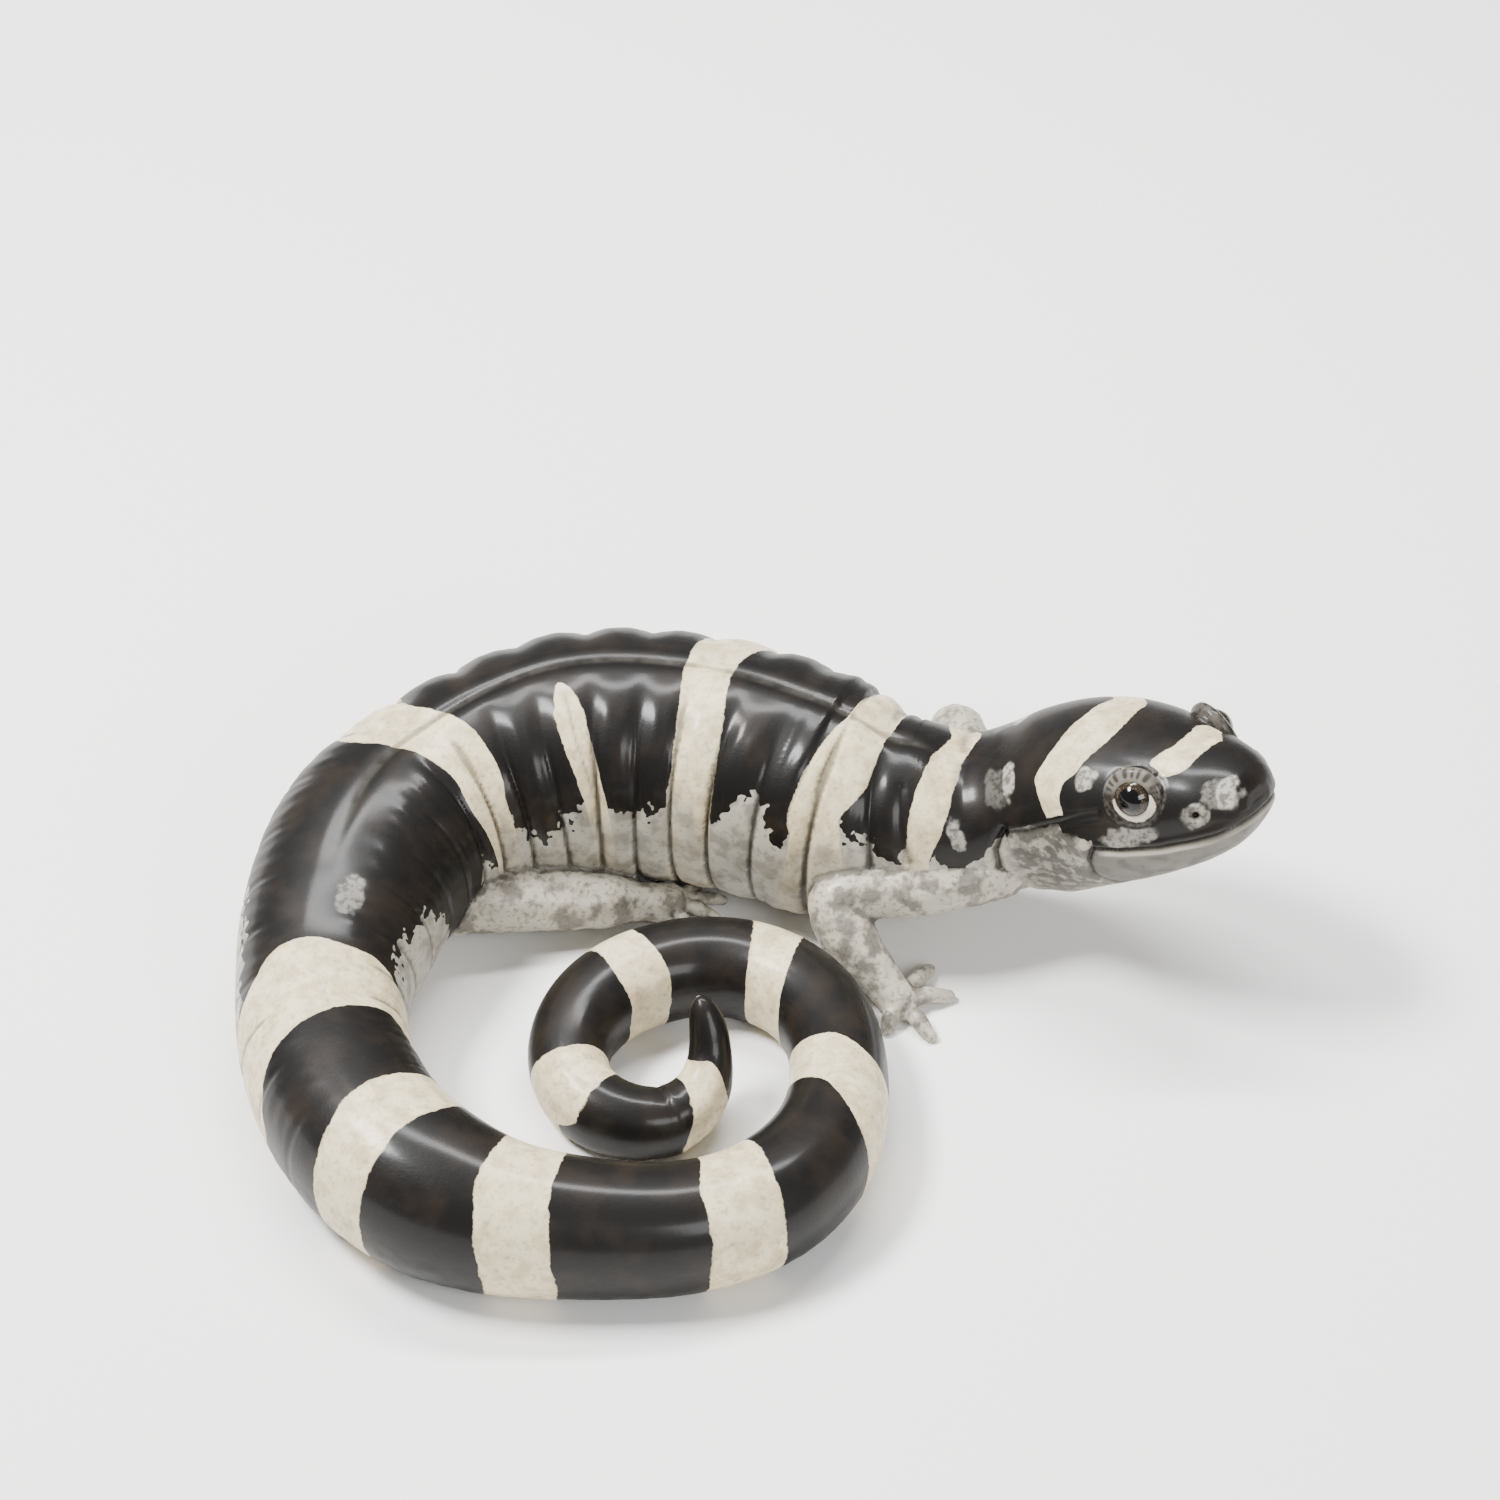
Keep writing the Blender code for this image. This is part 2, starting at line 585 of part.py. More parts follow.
for obj in list(bpy.data.objects):
    bpy.data.objects.remove(obj)
parts = bpy.data.collections.new("ringed_salamander")
cutters = bpy.data.collections.new("cutters")
bpy.context.scene.collection.children.link(parts)
bpy.context.scene.collection.children.link(cutters)
build()
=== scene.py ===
import math

import bmesh
import bpy
import numpy as np
from mathutils import Matrix, noise


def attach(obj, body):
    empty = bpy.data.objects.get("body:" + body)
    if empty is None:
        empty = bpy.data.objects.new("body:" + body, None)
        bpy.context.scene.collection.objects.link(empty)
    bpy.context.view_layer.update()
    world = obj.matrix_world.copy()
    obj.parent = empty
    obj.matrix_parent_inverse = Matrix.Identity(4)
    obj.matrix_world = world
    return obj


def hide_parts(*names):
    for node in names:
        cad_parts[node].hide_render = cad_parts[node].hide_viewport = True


mm = 0.001
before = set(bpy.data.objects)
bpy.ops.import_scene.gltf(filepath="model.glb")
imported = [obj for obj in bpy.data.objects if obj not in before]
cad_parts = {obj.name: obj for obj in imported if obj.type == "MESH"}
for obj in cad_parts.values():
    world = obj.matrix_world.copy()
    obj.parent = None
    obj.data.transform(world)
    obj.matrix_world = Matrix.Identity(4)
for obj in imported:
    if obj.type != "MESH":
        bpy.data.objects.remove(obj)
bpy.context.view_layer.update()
print("frame loaded with", len(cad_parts), "solids")

# The body's centreline and its girth, told by the distance behind the snout's tip
spine = {
    "length": 213.5, "step": 0.5, "anchorAt": 33.5, "anchor": (10.52, 12.18), "anchorHeading": 163.0,
    "shift": (-0.21, 4.0, 0.0), "pressed": 0.3, "power": 2.15,
    "turns": (  # distance, degrees for each millimetre
        (0, 0.0), (8, 0.0), (13, 2.6), (18, 3.1), (23, 1.3), (28, -1.2), (33.5, -2.1), (47.5, 2.0),
        (63.5, 2.2), (75.5, 3.9), (85.5, 1.0), (96.5, 2.3), (106.5, 2.1), (118.5, 4.1),
        (128.5, 0.6), (140.5, 4.7), (150.5, 3.7), (156.5, 1.8), (164.5, 5.5), (172.5, 6.4),
        (180.5, 4.4), (188.5, 6.8), (196.5, 10.1), (202.5, 10.6), (213.5, 10.6),
    ),
    "girths": (  # distance, half width, height above, height below
        (0, 1.5, 1.1, 1.0), (0.4, 2.6, 1.9, 1.9), (1.2, 3.6, 2.6, 2.8), (2.5, 4.5, 3.4, 3.8),
        (4.5, 5.4, 4.2, 4.8), (7, 6.4, 5.1, 5.7), (10, 7.2, 5.9, 6.6), (13, 7.6, 6.4, 7.3),
        (16, 7.4, 6.4, 8.0), (19, 6.9, 5.9, 8.7), (22, 6.4, 5.0, 8.4), (25, 6.4, 5.1, 7.4),
        (27.5, 6.9, 7.0, 6.9), (32.5, 7.9, 8.2, 8.0), (36.5, 9.0, 9.4, 9.3), (42.5, 9.5, 9.9, 9.8),
        (51.5, 9.7, 10.0, 9.9), (59.5, 9.6, 10.0, 9.8), (65.5, 9.1, 9.4, 9.2),
        (71.5, 8.7, 8.7, 8.6), (79.5, 8.5, 8.4, 8.3), (87.5, 7.7, 7.5, 7.5), (94.5, 6.7, 6.8, 6.8),
        (105.5, 6.4, 6.6, 6.6), (116.5, 6.1, 6.3, 6.3), (124.5, 5.2, 5.5, 5.5),
        (132.5, 4.7, 5.0, 5.0), (145.5, 4.4, 4.7, 4.7), (157.5, 3.75, 4.1, 4.1),
        (172.5, 3.7, 3.95, 3.95), (183.5, 3.6, 3.9, 3.9), (191.5, 3.1, 3.4, 3.4),
        (199.5, 2.7, 2.9, 2.9), (204.5, 2.3, 2.5, 2.5), (208.5, 1.7, 1.9, 1.9),
        (212, 1.15, 1.25, 1.25), (213.2, 0.6, 0.65, 0.65), (213.5, 0.25, 0.25, 0.25),
    ),
    "frontHeights": (  # distance, height of the line
        (0, 21.3), (7, 18.4), (13, 16.0), (17, 14.5), (21, 13.0), (25, 11.3), (29, 9.7), (33.5, 8.9),
        (39.5, 9.1),
    ),
    "tipHeights": ((202.5, 2.5), (205.5, 3.3), (208.5, 5.2), (211.5, 7.8), (213.5, 9.6)),
}


def curveShares(t):  # of the start, the slope there, the end and the slope there
    return 2 * t ** 3 - 3 * t ** 2 + 1, t ** 3 - 2 * t ** 2 + t, 3 * t ** 2 - 2 * t ** 3, t ** 3 - t ** 2


def smoothCurve(rows, at, column=1):
    xs = np.array([row[0] for row in rows], float)
    ys = np.array([row[column] for row in rows], float)
    at = np.clip(np.asarray(at, float), xs[0], xs[-1])
    rise = np.diff(ys) / np.diff(xs)
    slopes = np.concatenate((rise[:1], (rise[:-1] + rise[1:]) / 2, rise[-1:]))
    i = np.clip(np.searchsorted(xs, at, side="right") - 1, 0, len(xs) - 2)
    wide = xs[i + 1] - xs[i]
    start, leave, end, arrive = curveShares((at - xs[i]) / wide)
    near = start * ys[i] + leave * wide * slopes[i]
    return near + end * ys[i + 1] + arrive * wide * slopes[i + 1]


def straightCurve(rows, at):
    return np.interp(at, [row[0] for row in rows], [row[1] for row in rows])


def fade(low, high, value):  # 0 at low and 1 at high, whichever is the larger
    t = np.clip((value - low) / (high - low), 0, 1)
    return t * t * (3 - 2 * t)


def band(bounds, value):  # 0 outside the first and third bound, 1 between the second and fourth
    return fade(*bounds[:2], value) * fade(*bounds[2:], value)


def hump(away, wide):  # 1 in the middle, and nothing well beyond the width
    return np.exp(-(away / wide) ** 2)


def unit(vectors):
    return vectors / np.maximum(np.linalg.norm(vectors, axis=-1, keepdims=True), 1e-9)


def lengths(vectors):
    return np.linalg.norm(vectors, axis=-1)


def circle(sides):
    return np.linspace(0, 2 * math.pi, sides, endpoint=False)


def centreHeight(at):  # between the neck and the tip the belly is on the floor
    if at < spine["frontHeights"][-1][0]:
        return float(smoothCurve(spine["frontHeights"], at))
    if at > spine["tipHeights"][0][0]:
        return float(smoothCurve(spine["tipHeights"], at))
    return float(smoothCurve(spine["girths"], at, 3)) - spine["pressed"]


def layOutSpine():
    step = spine["step"]
    count = round(spine["length"] / step)
    start = round(spine["anchorAt"] / step)
    heights = [centreHeight(i * step) for i in range(count + 1)]
    points = np.zeros((count + 1, 3))
    points[start] = (*spine["anchor"], heights[start])
    for direction in (1, -1):
        heading = spine["anchorHeading"]
        i = start
        while 0 <= i + direction <= count:
            turn = float(straightCurve(spine["turns"], (i + direction / 2) * step)) * step * direction / 2
            run = math.sqrt(max(step ** 2 - (heights[i + direction] - heights[i]) ** 2, 0.0))
            heading += turn
            angle = math.radians(heading)
            x = points[i][0] + math.cos(angle) * run * direction
            y = points[i][1] + math.sin(angle) * run * direction
            heading += turn
            i += direction
            points[i] = (x, y, heights[i])
    return points


spinePoints = layOutSpine()


def spinePoint(at):
    at = np.asarray(at, float)
    place = np.clip(at / spine["step"], 0, len(spinePoints) - 1.001)
    i = place.astype(int)
    along = spinePoints[i + 1] - spinePoints[i]
    beyond = at - np.clip(at, 0, spine["length"])
    return spinePoints[i] + along * (place - i)[..., None] + unit(along) * beyond[..., None]


def spineAxes(at):
    at = np.asarray(at, float)
    forward = unit(spinePoint(at - 1.5) - spinePoint(at + 1.5))
    side = unit(np.cross(forward, np.array((0.0, 0.0, 1.0))))
    return forward, side, np.cross(side, forward)


def girthAt(at, up):
    wide = smoothCurve(spine["girths"], at, 1)
    above = smoothCurve(spine["girths"], at, 2)
    below = smoothCurve(spine["girths"], at, 3)
    return wide, np.where(up > 0, above, below)


def bodyPlace(at, side, up):
    axes = spineAxes(at)
    return spinePoint(at) + axes[1] * side + axes[2] * up


# Closed shells that grow together into one skin
shell = {
    "snoutRings": (0.0, 0.12, 0.3, 0.5), "rings": (0.8, 212.8, 0.35), "tipRings": (213.0, 213.3, 213.5),
    "sides": 96, "limbSides": 28, "limbSteps": 9, "rootSteps": 13, "digitSides": 16, "digitSteps": 8,
    "digitStart": 0.8, "tipHeight": 0.4, "capAngles": (12, 30, 48, 66, 80),
    "toeSpan": (35, 60), "toeGive": 0.9, "toeReach": (1.8, 0.6),
}
batch = 20000  # points measured at once


def tubeMesh(rings):
    rings = np.array(rings)
    count, sides = rings.shape[:2]
    ends = np.array([rings[0].mean(0), rings[-1].mean(0)])
    points = np.concatenate((rings.reshape(-1, 3), ends))
    i, k = np.meshgrid(np.arange(count - 1), np.arange(sides), indexing="ij")
    after = (k + 1) % sides
    walls = np.stack((i * sides + k, i * sides + after, (i + 1) * sides + after, (i + 1) * sides + k), -1)
    faces = walls.reshape(-1, 4).tolist()
    last = (count - 1) * sides
    for k in range(sides):
        faces.append([(k + 1) % sides, k, count * sides])
        faces.append([last + k, last + (k + 1) % sides, count * sides + 1])
    return points, faces


def inBatches(points, measure):
    return np.concatenate([measure(points[i:i + batch]) for i in range(0, len(points), batch)])


def nearest(points, line):
    centres = np.array([row[0] for row in line])
    radii = np.array([row[1] for row in line])
    return inBatches(points, lambda part: (lengths(part[:, None] - centres) - radii).min(1))


def bodyShell(toes):
    middle = np.arange(*shell["rings"])
    stations = np.concatenate((shell["snoutRings"], middle, shell["tipRings"]))
    angles = circle(shell["sides"])
    toesFrom, toesTo = shell["toeSpan"]
    rings = []
    for at in stations:
        wide, tall = girthAt(np.full(len(angles), at), np.sin(angles))
        roundness = 2 / spine["power"]
        side = wide * np.sign(np.cos(angles)) * np.abs(np.cos(angles)) ** roundness
        up = tall * np.sign(np.sin(angles)) * np.abs(np.sin(angles)) ** roundness
        _, right, above = spineAxes(at)
        ring = spinePoint(at) + right * side[:, None] + above * up[:, None]
        if toesFrom < at < toesTo:  # gives way under the toes, filled out again later
            give = shell["toeGive"] * fade(*shell["toeReach"], nearest(ring, toes))
            ring = ring - unit(ring - spinePoint(at)) * give[:, None]
        ring[:, 2] = np.maximum(ring[:, 2], 0)
        rings.append(ring)
    return tubeMesh(rings)


def limbLine(rows, steps):
    places = np.array([row[0] for row in rows], float)
    radii = np.array([row[1] for row in rows], float)
    line = []
    for i in range(len(places) - 1):
        before = places[max(i - 1, 0)]
        after = places[min(i + 2, len(places) - 1)]
        a, b = places[i], places[i + 1]
        leaving, arriving = (b - before) / 2, (after - a) / 2
        for k in range(steps):
            start, leave, end, arrive = curveShares(k / steps)
            point = a * start + leaving * leave + b * end + arriving * arrive
            line.append((point, radii[i] + (radii[i + 1] - radii[i]) * fade(0, 1, k / steps)))
    line.append((places[-1], radii[-1]))
    return line


def limbShell(line, sides):
    caps = [(math.cos(a), math.sin(a)) for a in np.radians(shell["capAngles"])]
    first = unit(line[0][0] - line[1][0])
    last = unit(line[-1][0] - line[-2][0])
    start = [(line[0][0] + first * line[0][1] * out, line[0][1] * size) for out, size in caps]
    end = [(line[-1][0] + last * line[-1][1] * out, line[-1][1] * size) for out, size in reversed(caps)]
    line = start + line + end
    angles = circle(sides)
    rings = []
    for i, (point, radius) in enumerate(line):
        along = unit(line[min(i + 1, len(line) - 1)][0] - line[max(i - 1, 0)][0])
        across = unit(np.cross(along, np.array((0.0, 0.0, 1.0))) + np.array((1e-6, 0, 0)))
        other = np.cross(along, across)
        rings.append(point + (across * np.cos(angles)[:, None] + other * np.sin(angles)[:, None]) * radius)
    return tubeMesh(rings)


# Limbs: a place and a radius for each row, then the tips of the fingers or toes
limbForms = {
    "frontRight": {
        "rows": (
            ((19.6, 2.6, 8.3), 2.6), ((13.6, 0.3, 8.0), 2.15), ((7.1, 0.2, 7.3), 2.2),
            ((7.8, -2.0, 4.9), 2.3), ((10.6, -4.3, 2.1), 1.6), ((11.6, -5.2, 1.1), 1.6),
        ),
        "digits": "fingers", "tips": ((14.2, -1.1), (15.7, -4.0), (14.1, -8.4), (10.7, -7.6)),
    },
    "frontLeft": {
        "rows": (
            ((18.4, 11.2, 9.0), 2.6), ((17.6, 14.8, 9.4), 2.3), ((16.9, 17.9, 9.2), 2.35),
            ((18.2, 19.2, 5.8), 2.1), ((19.4, 20.2, 2.2), 1.6), ((20.6, 20.8, 1.1), 1.6),
        ),
        "digits": "fingers", "tips": ((20.2, 25.0), (23.4, 23.8), (25.0, 20.9), (23.0, 17.9)),
    },
    "hindRight": {
        "rows": (
            ((-27.5, 2.4, 4.8), 3.3), ((-21.0, 3.4, 4.1), 2.8), ((-15.6, 4.0, 3.4), 2.5),
            ((-12.2, 4.5, 2.9), 2.3), ((-8.7, 5.4, 1.9), 1.6), ((-6.6, 6.2, 1.1), 1.6),
        ),
        "digits": "toes", "tips": ((-7.4, 8.9), (-4.2, 8.5), (-2.2, 7.2), (-2.8, 5.2), (-4.8, 3.3)),
    },
    "hindLeft": {
        "rows": (
            ((-31.0, 8.4, 4.6), 3.2), ((-34.2, 12.8, 3.9), 2.6), ((-34.2, 17.4, 3.0), 2.3),
            ((-32.2, 20.2, 2.6), 2.1), ((-29.6, 22.6, 1.9), 1.6), ((-27.8, 24.0, 1.1), 1.6),
        ),
        "digits": "toes",
        "tips": ((-29.6, 27.8), (-26.6, 29.0), (-24.0, 27.8), (-23.0, 25.3), (-24.4, 23.0)),
    },
}
digitForms = {
    "fingers": {"root": 0.84, "waist": 0.66, "knuckle": 0.72, "tip": 0.56, "lift": 0.42, "rootHeight": 0.8},
    "toes": {"root": 0.70, "waist": 0.52, "knuckle": 0.58, "tip": 0.44, "lift": 0.42, "rootHeight": 0.74},
}


def shifted(point):
    return np.array(point, float) + np.array(spine["shift"])


def digitRows(palm, tip, form):
    start = palm + unit(tip - palm) * shell["digitStart"]
    start[2] = form["rootHeight"]
    lift = np.array((0, 0, form["lift"]))
    return (
        (start, form["root"]),
        (start * 0.68 + tip * 0.32 + lift, form["waist"]),
        (start * 0.48 + tip * 0.52 + lift, form["knuckle"]),
        (start * 0.22 + tip * 0.78 + lift * 0.45, form["waist"] * 0.95),
        (tip, form["tip"]),
    )


def limbShells():
    shells, arms, roots, digits = [], [], [], []
    for form in limbForms.values():
        rows = [(shifted(point), radius) for point, radius in form["rows"]]
        line = limbLine(rows, shell["limbSteps"])
        shells.append(limbShell(line, shell["limbSides"]))
        arms += line
        roots += line[:shell["rootSteps"]]
        palm = rows[-1][0]
        for x, y in form["tips"]:
            tip = shifted((x, y, shell["tipHeight"]))
            line = limbLine(digitRows(palm, tip, digitForms[form["digits"]]), shell["digitSteps"])
            shells.append(limbShell(line, shell["digitSides"]))
            digits += line
    return shells, arms, roots, digits


# Eyes and lids, the same on both sides
eye = {
    "at": 7.2, "side": 5.05, "up": 2.6, "radius": 1.65, "gaze": (0.32, 0.9, 0.3), "lidRadius": 2.3,
    "lidRings": 24, "lidSides": 48, "openWide": 59.0, "openUp": 53.0, "openDown": 56.0,
    "rimHeight": 0.17, "insideRadius": 1.3,
}


def eyeFrame(side):
    centre = bodyPlace(np.array(eye["at"]), side * eye["side"], eye["up"])
    forward, right, up = spineAxes(np.array(eye["at"]))
    gaze = eye["gaze"]
    look = unit(forward * gaze[0] + right * side * gaze[1] + up * gaze[2])
    level = unit(np.cross(up, look))
    return centre, look, level, np.cross(look, level)


def ballShell(centre, axes, polar, radii, sides):  # the polar angles count from the last axis
    around = circle(sides)[:, None]
    rings = []
    for angle, radius in zip(polar, radii):
        flat = axes[0] * np.cos(around) * math.sin(angle) + axes[1] * np.sin(around) * math.sin(angle)
        rings.append(centre + (flat + axes[2] * math.cos(angle)) * radius)
    return tubeMesh(rings)


def lidBall(side):
    polar = np.linspace(0.06, math.pi - 0.06, eye["lidRings"])
    radii = np.full(len(polar), eye["lidRadius"])
    return ballShell(eyeFrame(side)[0], np.eye(3), polar, radii, eye["lidSides"])


def meshFrom(name, points, faces):
    mesh = bpy.data.meshes.new(name)
    mesh.from_pydata([tuple(point) for point in points.tolist()], [], faces)
    bm = bmesh.new()
    bm.from_mesh(mesh)
    bmesh.ops.recalc_face_normals(bm, faces=bm.faces)
    if bm.calc_volume(signed=True) < 0:
        bmesh.ops.reverse_faces(bm, faces=bm.faces)
    bm.to_mesh(mesh)
    bm.free()
    return mesh


def pointsOf(mesh, name="co"):
    values = np.zeros(len(mesh.vertices) * 3)
    mesh.vertices.foreach_get(name, values)
    return values.reshape(-1, 3)


def newObject(name, data):
    obj = bpy.data.objects.new(name, data)
    bpy.context.scene.collection.objects.link(obj)
    return obj


def growTogether(shells, voxel):
    points = []
    faces = []
    total = 0
    for shellPoints, shellFaces in shells:
        part = meshFrom("part", shellPoints, shellFaces)
        points.append(pointsOf(part))
        faces += [[total + i for i in polygon.vertices] for polygon in part.polygons]
        total += len(part.vertices)
        bpy.data.meshes.remove(part)
    mesh = bpy.data.meshes.new("grown")
    mesh.from_pydata(np.concatenate(points).tolist(), [], faces)
    obj = newObject("grown", mesh)
    remesh = obj.modifiers.new("oneSkin", "REMESH")
    remesh.mode = "VOXEL"
    remesh.voxel_size = voxel
    depsgraph = bpy.context.evaluated_depsgraph_get()
    skin = bpy.data.meshes.new_from_object(obj.evaluated_get(depsgraph))
    bpy.data.objects.remove(obj)
    return skin


skinForm = {
    "voxel": 0.2, "headEnd": 26.0, "headReach": 9.0, "digitReach": 0.7, "searchRounds": 6, "searchShare": 0.7,
    "limbsFrom": 19, "limbEdge": (-0.12, 0.12), "limbOff": (1.5, 0.8), "limbSoftening": 0.2, "joinOff": 0.9,
    "joinReach": 1.2, "joinRounds": 14, "snapOff": (0.45, 0.15), "snap": (0.5, 0.9, 213.2, 212.8),
}
limbPieces, armLine, rootLine, digitLine = limbShells()
skinShells = [bodyShell(digitLine), *limbPieces, lidBall(1), lidBall(-1)]
skinMesh = growTogether(skinShells, skinForm["voxel"])
print("one skin of", len(skinMesh.vertices), "points")


def refine(mesh):
    points = pointsOf(mesh)
    near = nearest(points, digitLine) < skinForm["digitReach"]
    for at in np.arange(0, skinForm["headEnd"], 1.0):
        near |= lengths(points - spinePoint(at)) < skinForm["headReach"]
    bm = bmesh.new()
    bm.from_mesh(mesh)
    bm.verts.ensure_lookup_table()
    edges = [edge for edge in bm.edges if near[edge.verts[0].index] and near[edge.verts[1].index]]
    bmesh.ops.subdivide_edges(bm, edges=edges, cuts=1, use_grid_fill=True, smooth=0.0)
    bmesh.ops.triangulate(bm, faces=[face for face in bm.faces if len(face.verts) > 4])
    bm.to_mesh(mesh)
    bm.free()


refine(skinMesh)
print("head and digits refined:", len(skinMesh.vertices), "points")

# For every point: its place along and around the body, and how far it stands off it
skinPoints = pointsOf(skinMesh)


def nearestAlong(points):
    stations = np.arange(0, len(spinePoints)) * spine["step"]
    wide, tall = girthAt(stations, np.ones(len(stations)))
    size = np.maximum((wide + tall) / 2, 1.0)
    closest = inBatches(points, lambda part: (lengths(part[:, None] - spinePoints) / size).argmin(1))
    best = stations[closest]
    for _ in range(skinForm["searchRounds"]):
        forward = spineAxes(best)[0]
        best = best - skinForm["searchShare"] * ((points - spinePoint(best)) * forward).sum(1)
        best = np.clip(best, 0, spine["length"])
    return best


along = nearestAlong(skinPoints)
axes = spineAxes(along)
offset = skinPoints - spinePoint(along)
side = (offset * axes[1]).sum(1)
up = (offset * axes[2]).sum(1)
wide, tall = girthAt(along, up)
power = spine["power"]
ratio = ((np.abs(side) / wide) ** power + (np.abs(up) / tall) ** power) ** (1 / power)
reach = np.sqrt(side ** 2 + up ** 2)
excess = reach - reach / np.maximum(ratio, 1e-6)
rootAway = nearest(skinPoints, rootLine)
limbAway = np.minimum(nearest(skinPoints, armLine), nearest(skinPoints, digitLine))
onLimb = fade(*skinForm["limbEdge"], np.abs(excess) - np.abs(limbAway))
onLimb = onLimb * fade(*skinForm["limbOff"], limbAway) * (along >= skinForm["limbsFrom"])
print("places found")


def smoothPoints(points, edges, weight, rounds):
    count = len(points)
    degree = np.bincount(edges.ravel(), minlength=count).astype(float)
    for _ in range(rounds):
        total = np.stack([
            np.bincount(edges[:, 0], weights=points[edges[:, 1], c], minlength=count)
            + np.bincount(edges[:, 1], weights=points[edges[:, 0], c], minlength=count) for c in range(3)
        ], -1)
        points = points + (total / np.maximum(degree, 1)[:, None] - points) * weight[:, None]
    return points


edgeList = np.zeros(len(skinMesh.edges) * 2, int)
skinMesh.edges.foreach_get("vertices", edgeList)
edgeList = edgeList.reshape(-1, 2)
nearRoot = hump(np.maximum(rootAway, 0), skinForm["joinReach"])
join = hump(excess, skinForm["joinOff"]) * nearRoot * (along > skinForm["limbsFrom"])
snap = fade(*skinForm["snapOff"], excess) * band(skinForm["snap"], along) * (1 - join) * (1 - onLimb)
inward = (1 / np.maximum(ratio, 1e-6) - 1) * snap
skinPoints = skinPoints + axes[1] * (side * inward)[:, None] + axes[2] * (up * inward)[:, None]
softening = 0.5 * np.maximum(join, skinForm["limbSoftening"] * onLimb)
skinPoints = smoothPoints(skinPoints, edgeList, softening, skinForm["joinRounds"])
print("limbs grown in")

# Lids round the eyes, pressed open over each eyeball. Pairs of degrees count from the opening's edge.
lids = {
    "swell": 0.05, "swellAt": (0, 19), "furrow": 0.22, "furrowAt": (26, 42), "edgeAt": (-5, 1.5),
    "opensAt": 1.5, "pressed": (0.45, 0.1), "pressedAhead": -0.2, "toned": (0.6, 0.3), "tonedAhead": -0.1,
    "stripes": 19, "stripeDrift": 1.4, "stripe": (0, 8, 34, 14), "top": (0.05, 0.6), "farTop": 0.25,
    "paleWide": 3.2, "paleAhead": 7, "aheadAt": (-0.6, 0.7), "paleEdge": 1.5, "paleBelow": (0.22, -0.5),
    "paleTop": (0.2, 0.0), "paleFrom": (-3, 0), "farLine": (4, 6, 13, 9), "farLineTop": (0.0, 0.3),
    "reach": (2.75, 2.35),
}
lidStripe, lidPale, lidTop = np.zeros((3, len(skinPoints)))
for lidSide in (1, -1):
    centre, look, level, over = eyeFrame(lidSide)
    out = skinPoints - centre
    away = lengths(out)
    off = away - eye["lidRadius"]
    direction = out / np.maximum(away, 1e-9)[:, None]
    ahead = (direction * look).sum(1)
    across = (direction * level).sum(1)
    above = (direction * over).sum(1)
    tilt = np.degrees(np.arccos(np.clip(ahead, -1, 1)))
    turn = np.arctan2(above, across)
    openUp = np.where(above > 0, eye["openUp"], eye["openDown"])
    opening = 1 / np.sqrt((np.cos(turn) / eye["openWide"]) ** 2 + (np.sin(turn) / openUp) ** 2)
    rim = eye["radius"] + eye["rimHeight"]
    beyond = tilt - opening
    swollen = (eye["lidRadius"] + lids["swell"] - rim) * fade(*lids["swellAt"], beyond)
    lid = rim + swollen - lids["furrow"] * fade(*lids["furrowAt"], beyond)
    inside = eye["insideRadius"] + (rim - eye["insideRadius"]) * fade(*lids["edgeAt"], beyond)
    target = np.where(beyond < lids["opensAt"], inside, lid)
    pressed = fade(*lids["pressed"], off) * (ahead > lids["pressedAhead"])
    skinPoints = skinPoints + direction * ((target - away) * pressed)[:, None]
    toned = fade(*lids["toned"], off) * (ahead > lids["tonedAhead"])
    wave = turn * lids["stripes"] + lids["stripeDrift"] * np.sin(turn * 5)
    stripe = (0.5 + 0.5 * np.sin(wave)) * band(lids["stripe"], beyond)
    lidStripe = np.where(toned > 0.5, stripe, lidStripe)
    topShare = 1.0 if lidSide > 0 else lids["farTop"]
    lidTop = np.maximum(lidTop, toned * fade(*lids["top"], above) * topShare)
    # Painted reflection: a pale crescent round the lower side of each opening, wider towards the snout; the
    # far lid also gets a pale line along its top
    snoutward = (direction * spineAxes(np.array(eye["at"]))[0]).sum(1)
    paleWide = lids["paleWide"] + lids["paleAhead"] * fade(*lids["aheadAt"], snoutward)
    paleWide = paleWide * fade(*lids["paleBelow"], above)
    crescent = fade(paleWide + lids["paleEdge"], paleWide - lids["paleEdge"], beyond)
    crescent = crescent * fade(*lids["paleTop"], above)
    if lidSide < 0:  # the far lid has one pale line along its top
        farLine = band(lids["farLine"], beyond) * fade(*lids["farLineTop"], above)
        crescent = np.maximum(crescent, farLine)
    lidPale = np.maximum(lidPale, toned * crescent * fade(*lids["paleFrom"], beyond))
print("lids open")

# Folds of the skin. Each crease is a line of rows: distance behind the snout, angle up from the side.
folds = {
    "first": 32.6, "spacing": 4.25, "torso": (29.6, 32.0, 77.0, 75.0), "tail": (75.0, 77.0, 115.5, 104),
    "groove": 0.36, "grooveWide": 0.3, "tailGroove": 0.13, "uneven": 0.3, "flank": (-75, -50, 84, 48),
    "highFrom": (35, 62), "highWide": 0.75, "highDepth": 0.6, "roll": 0.14, "highRoll": 0.1,
    "slits": 0.016, "slitsAway": (0.3, 0.9), "slitsAt": (10, 30, 72, 56), "slitsOnTail": 1.3, "drift": 0.35,
    "backDepth": 0.2, "backWide": 0.6, "backRidge": 0.03, "ridgeAway": 1.3, "ridgeWide": 0.6,
    "back": (26.0, 32.0, 90.0, 76), "backHighlight": 0.3, "grooveShadeLine": 0.17, "lineTop": (60, 30),
    "creaseShade": 0.7, "cavityShade": (0.004, 0.03), "cavityRounds": 5,
}
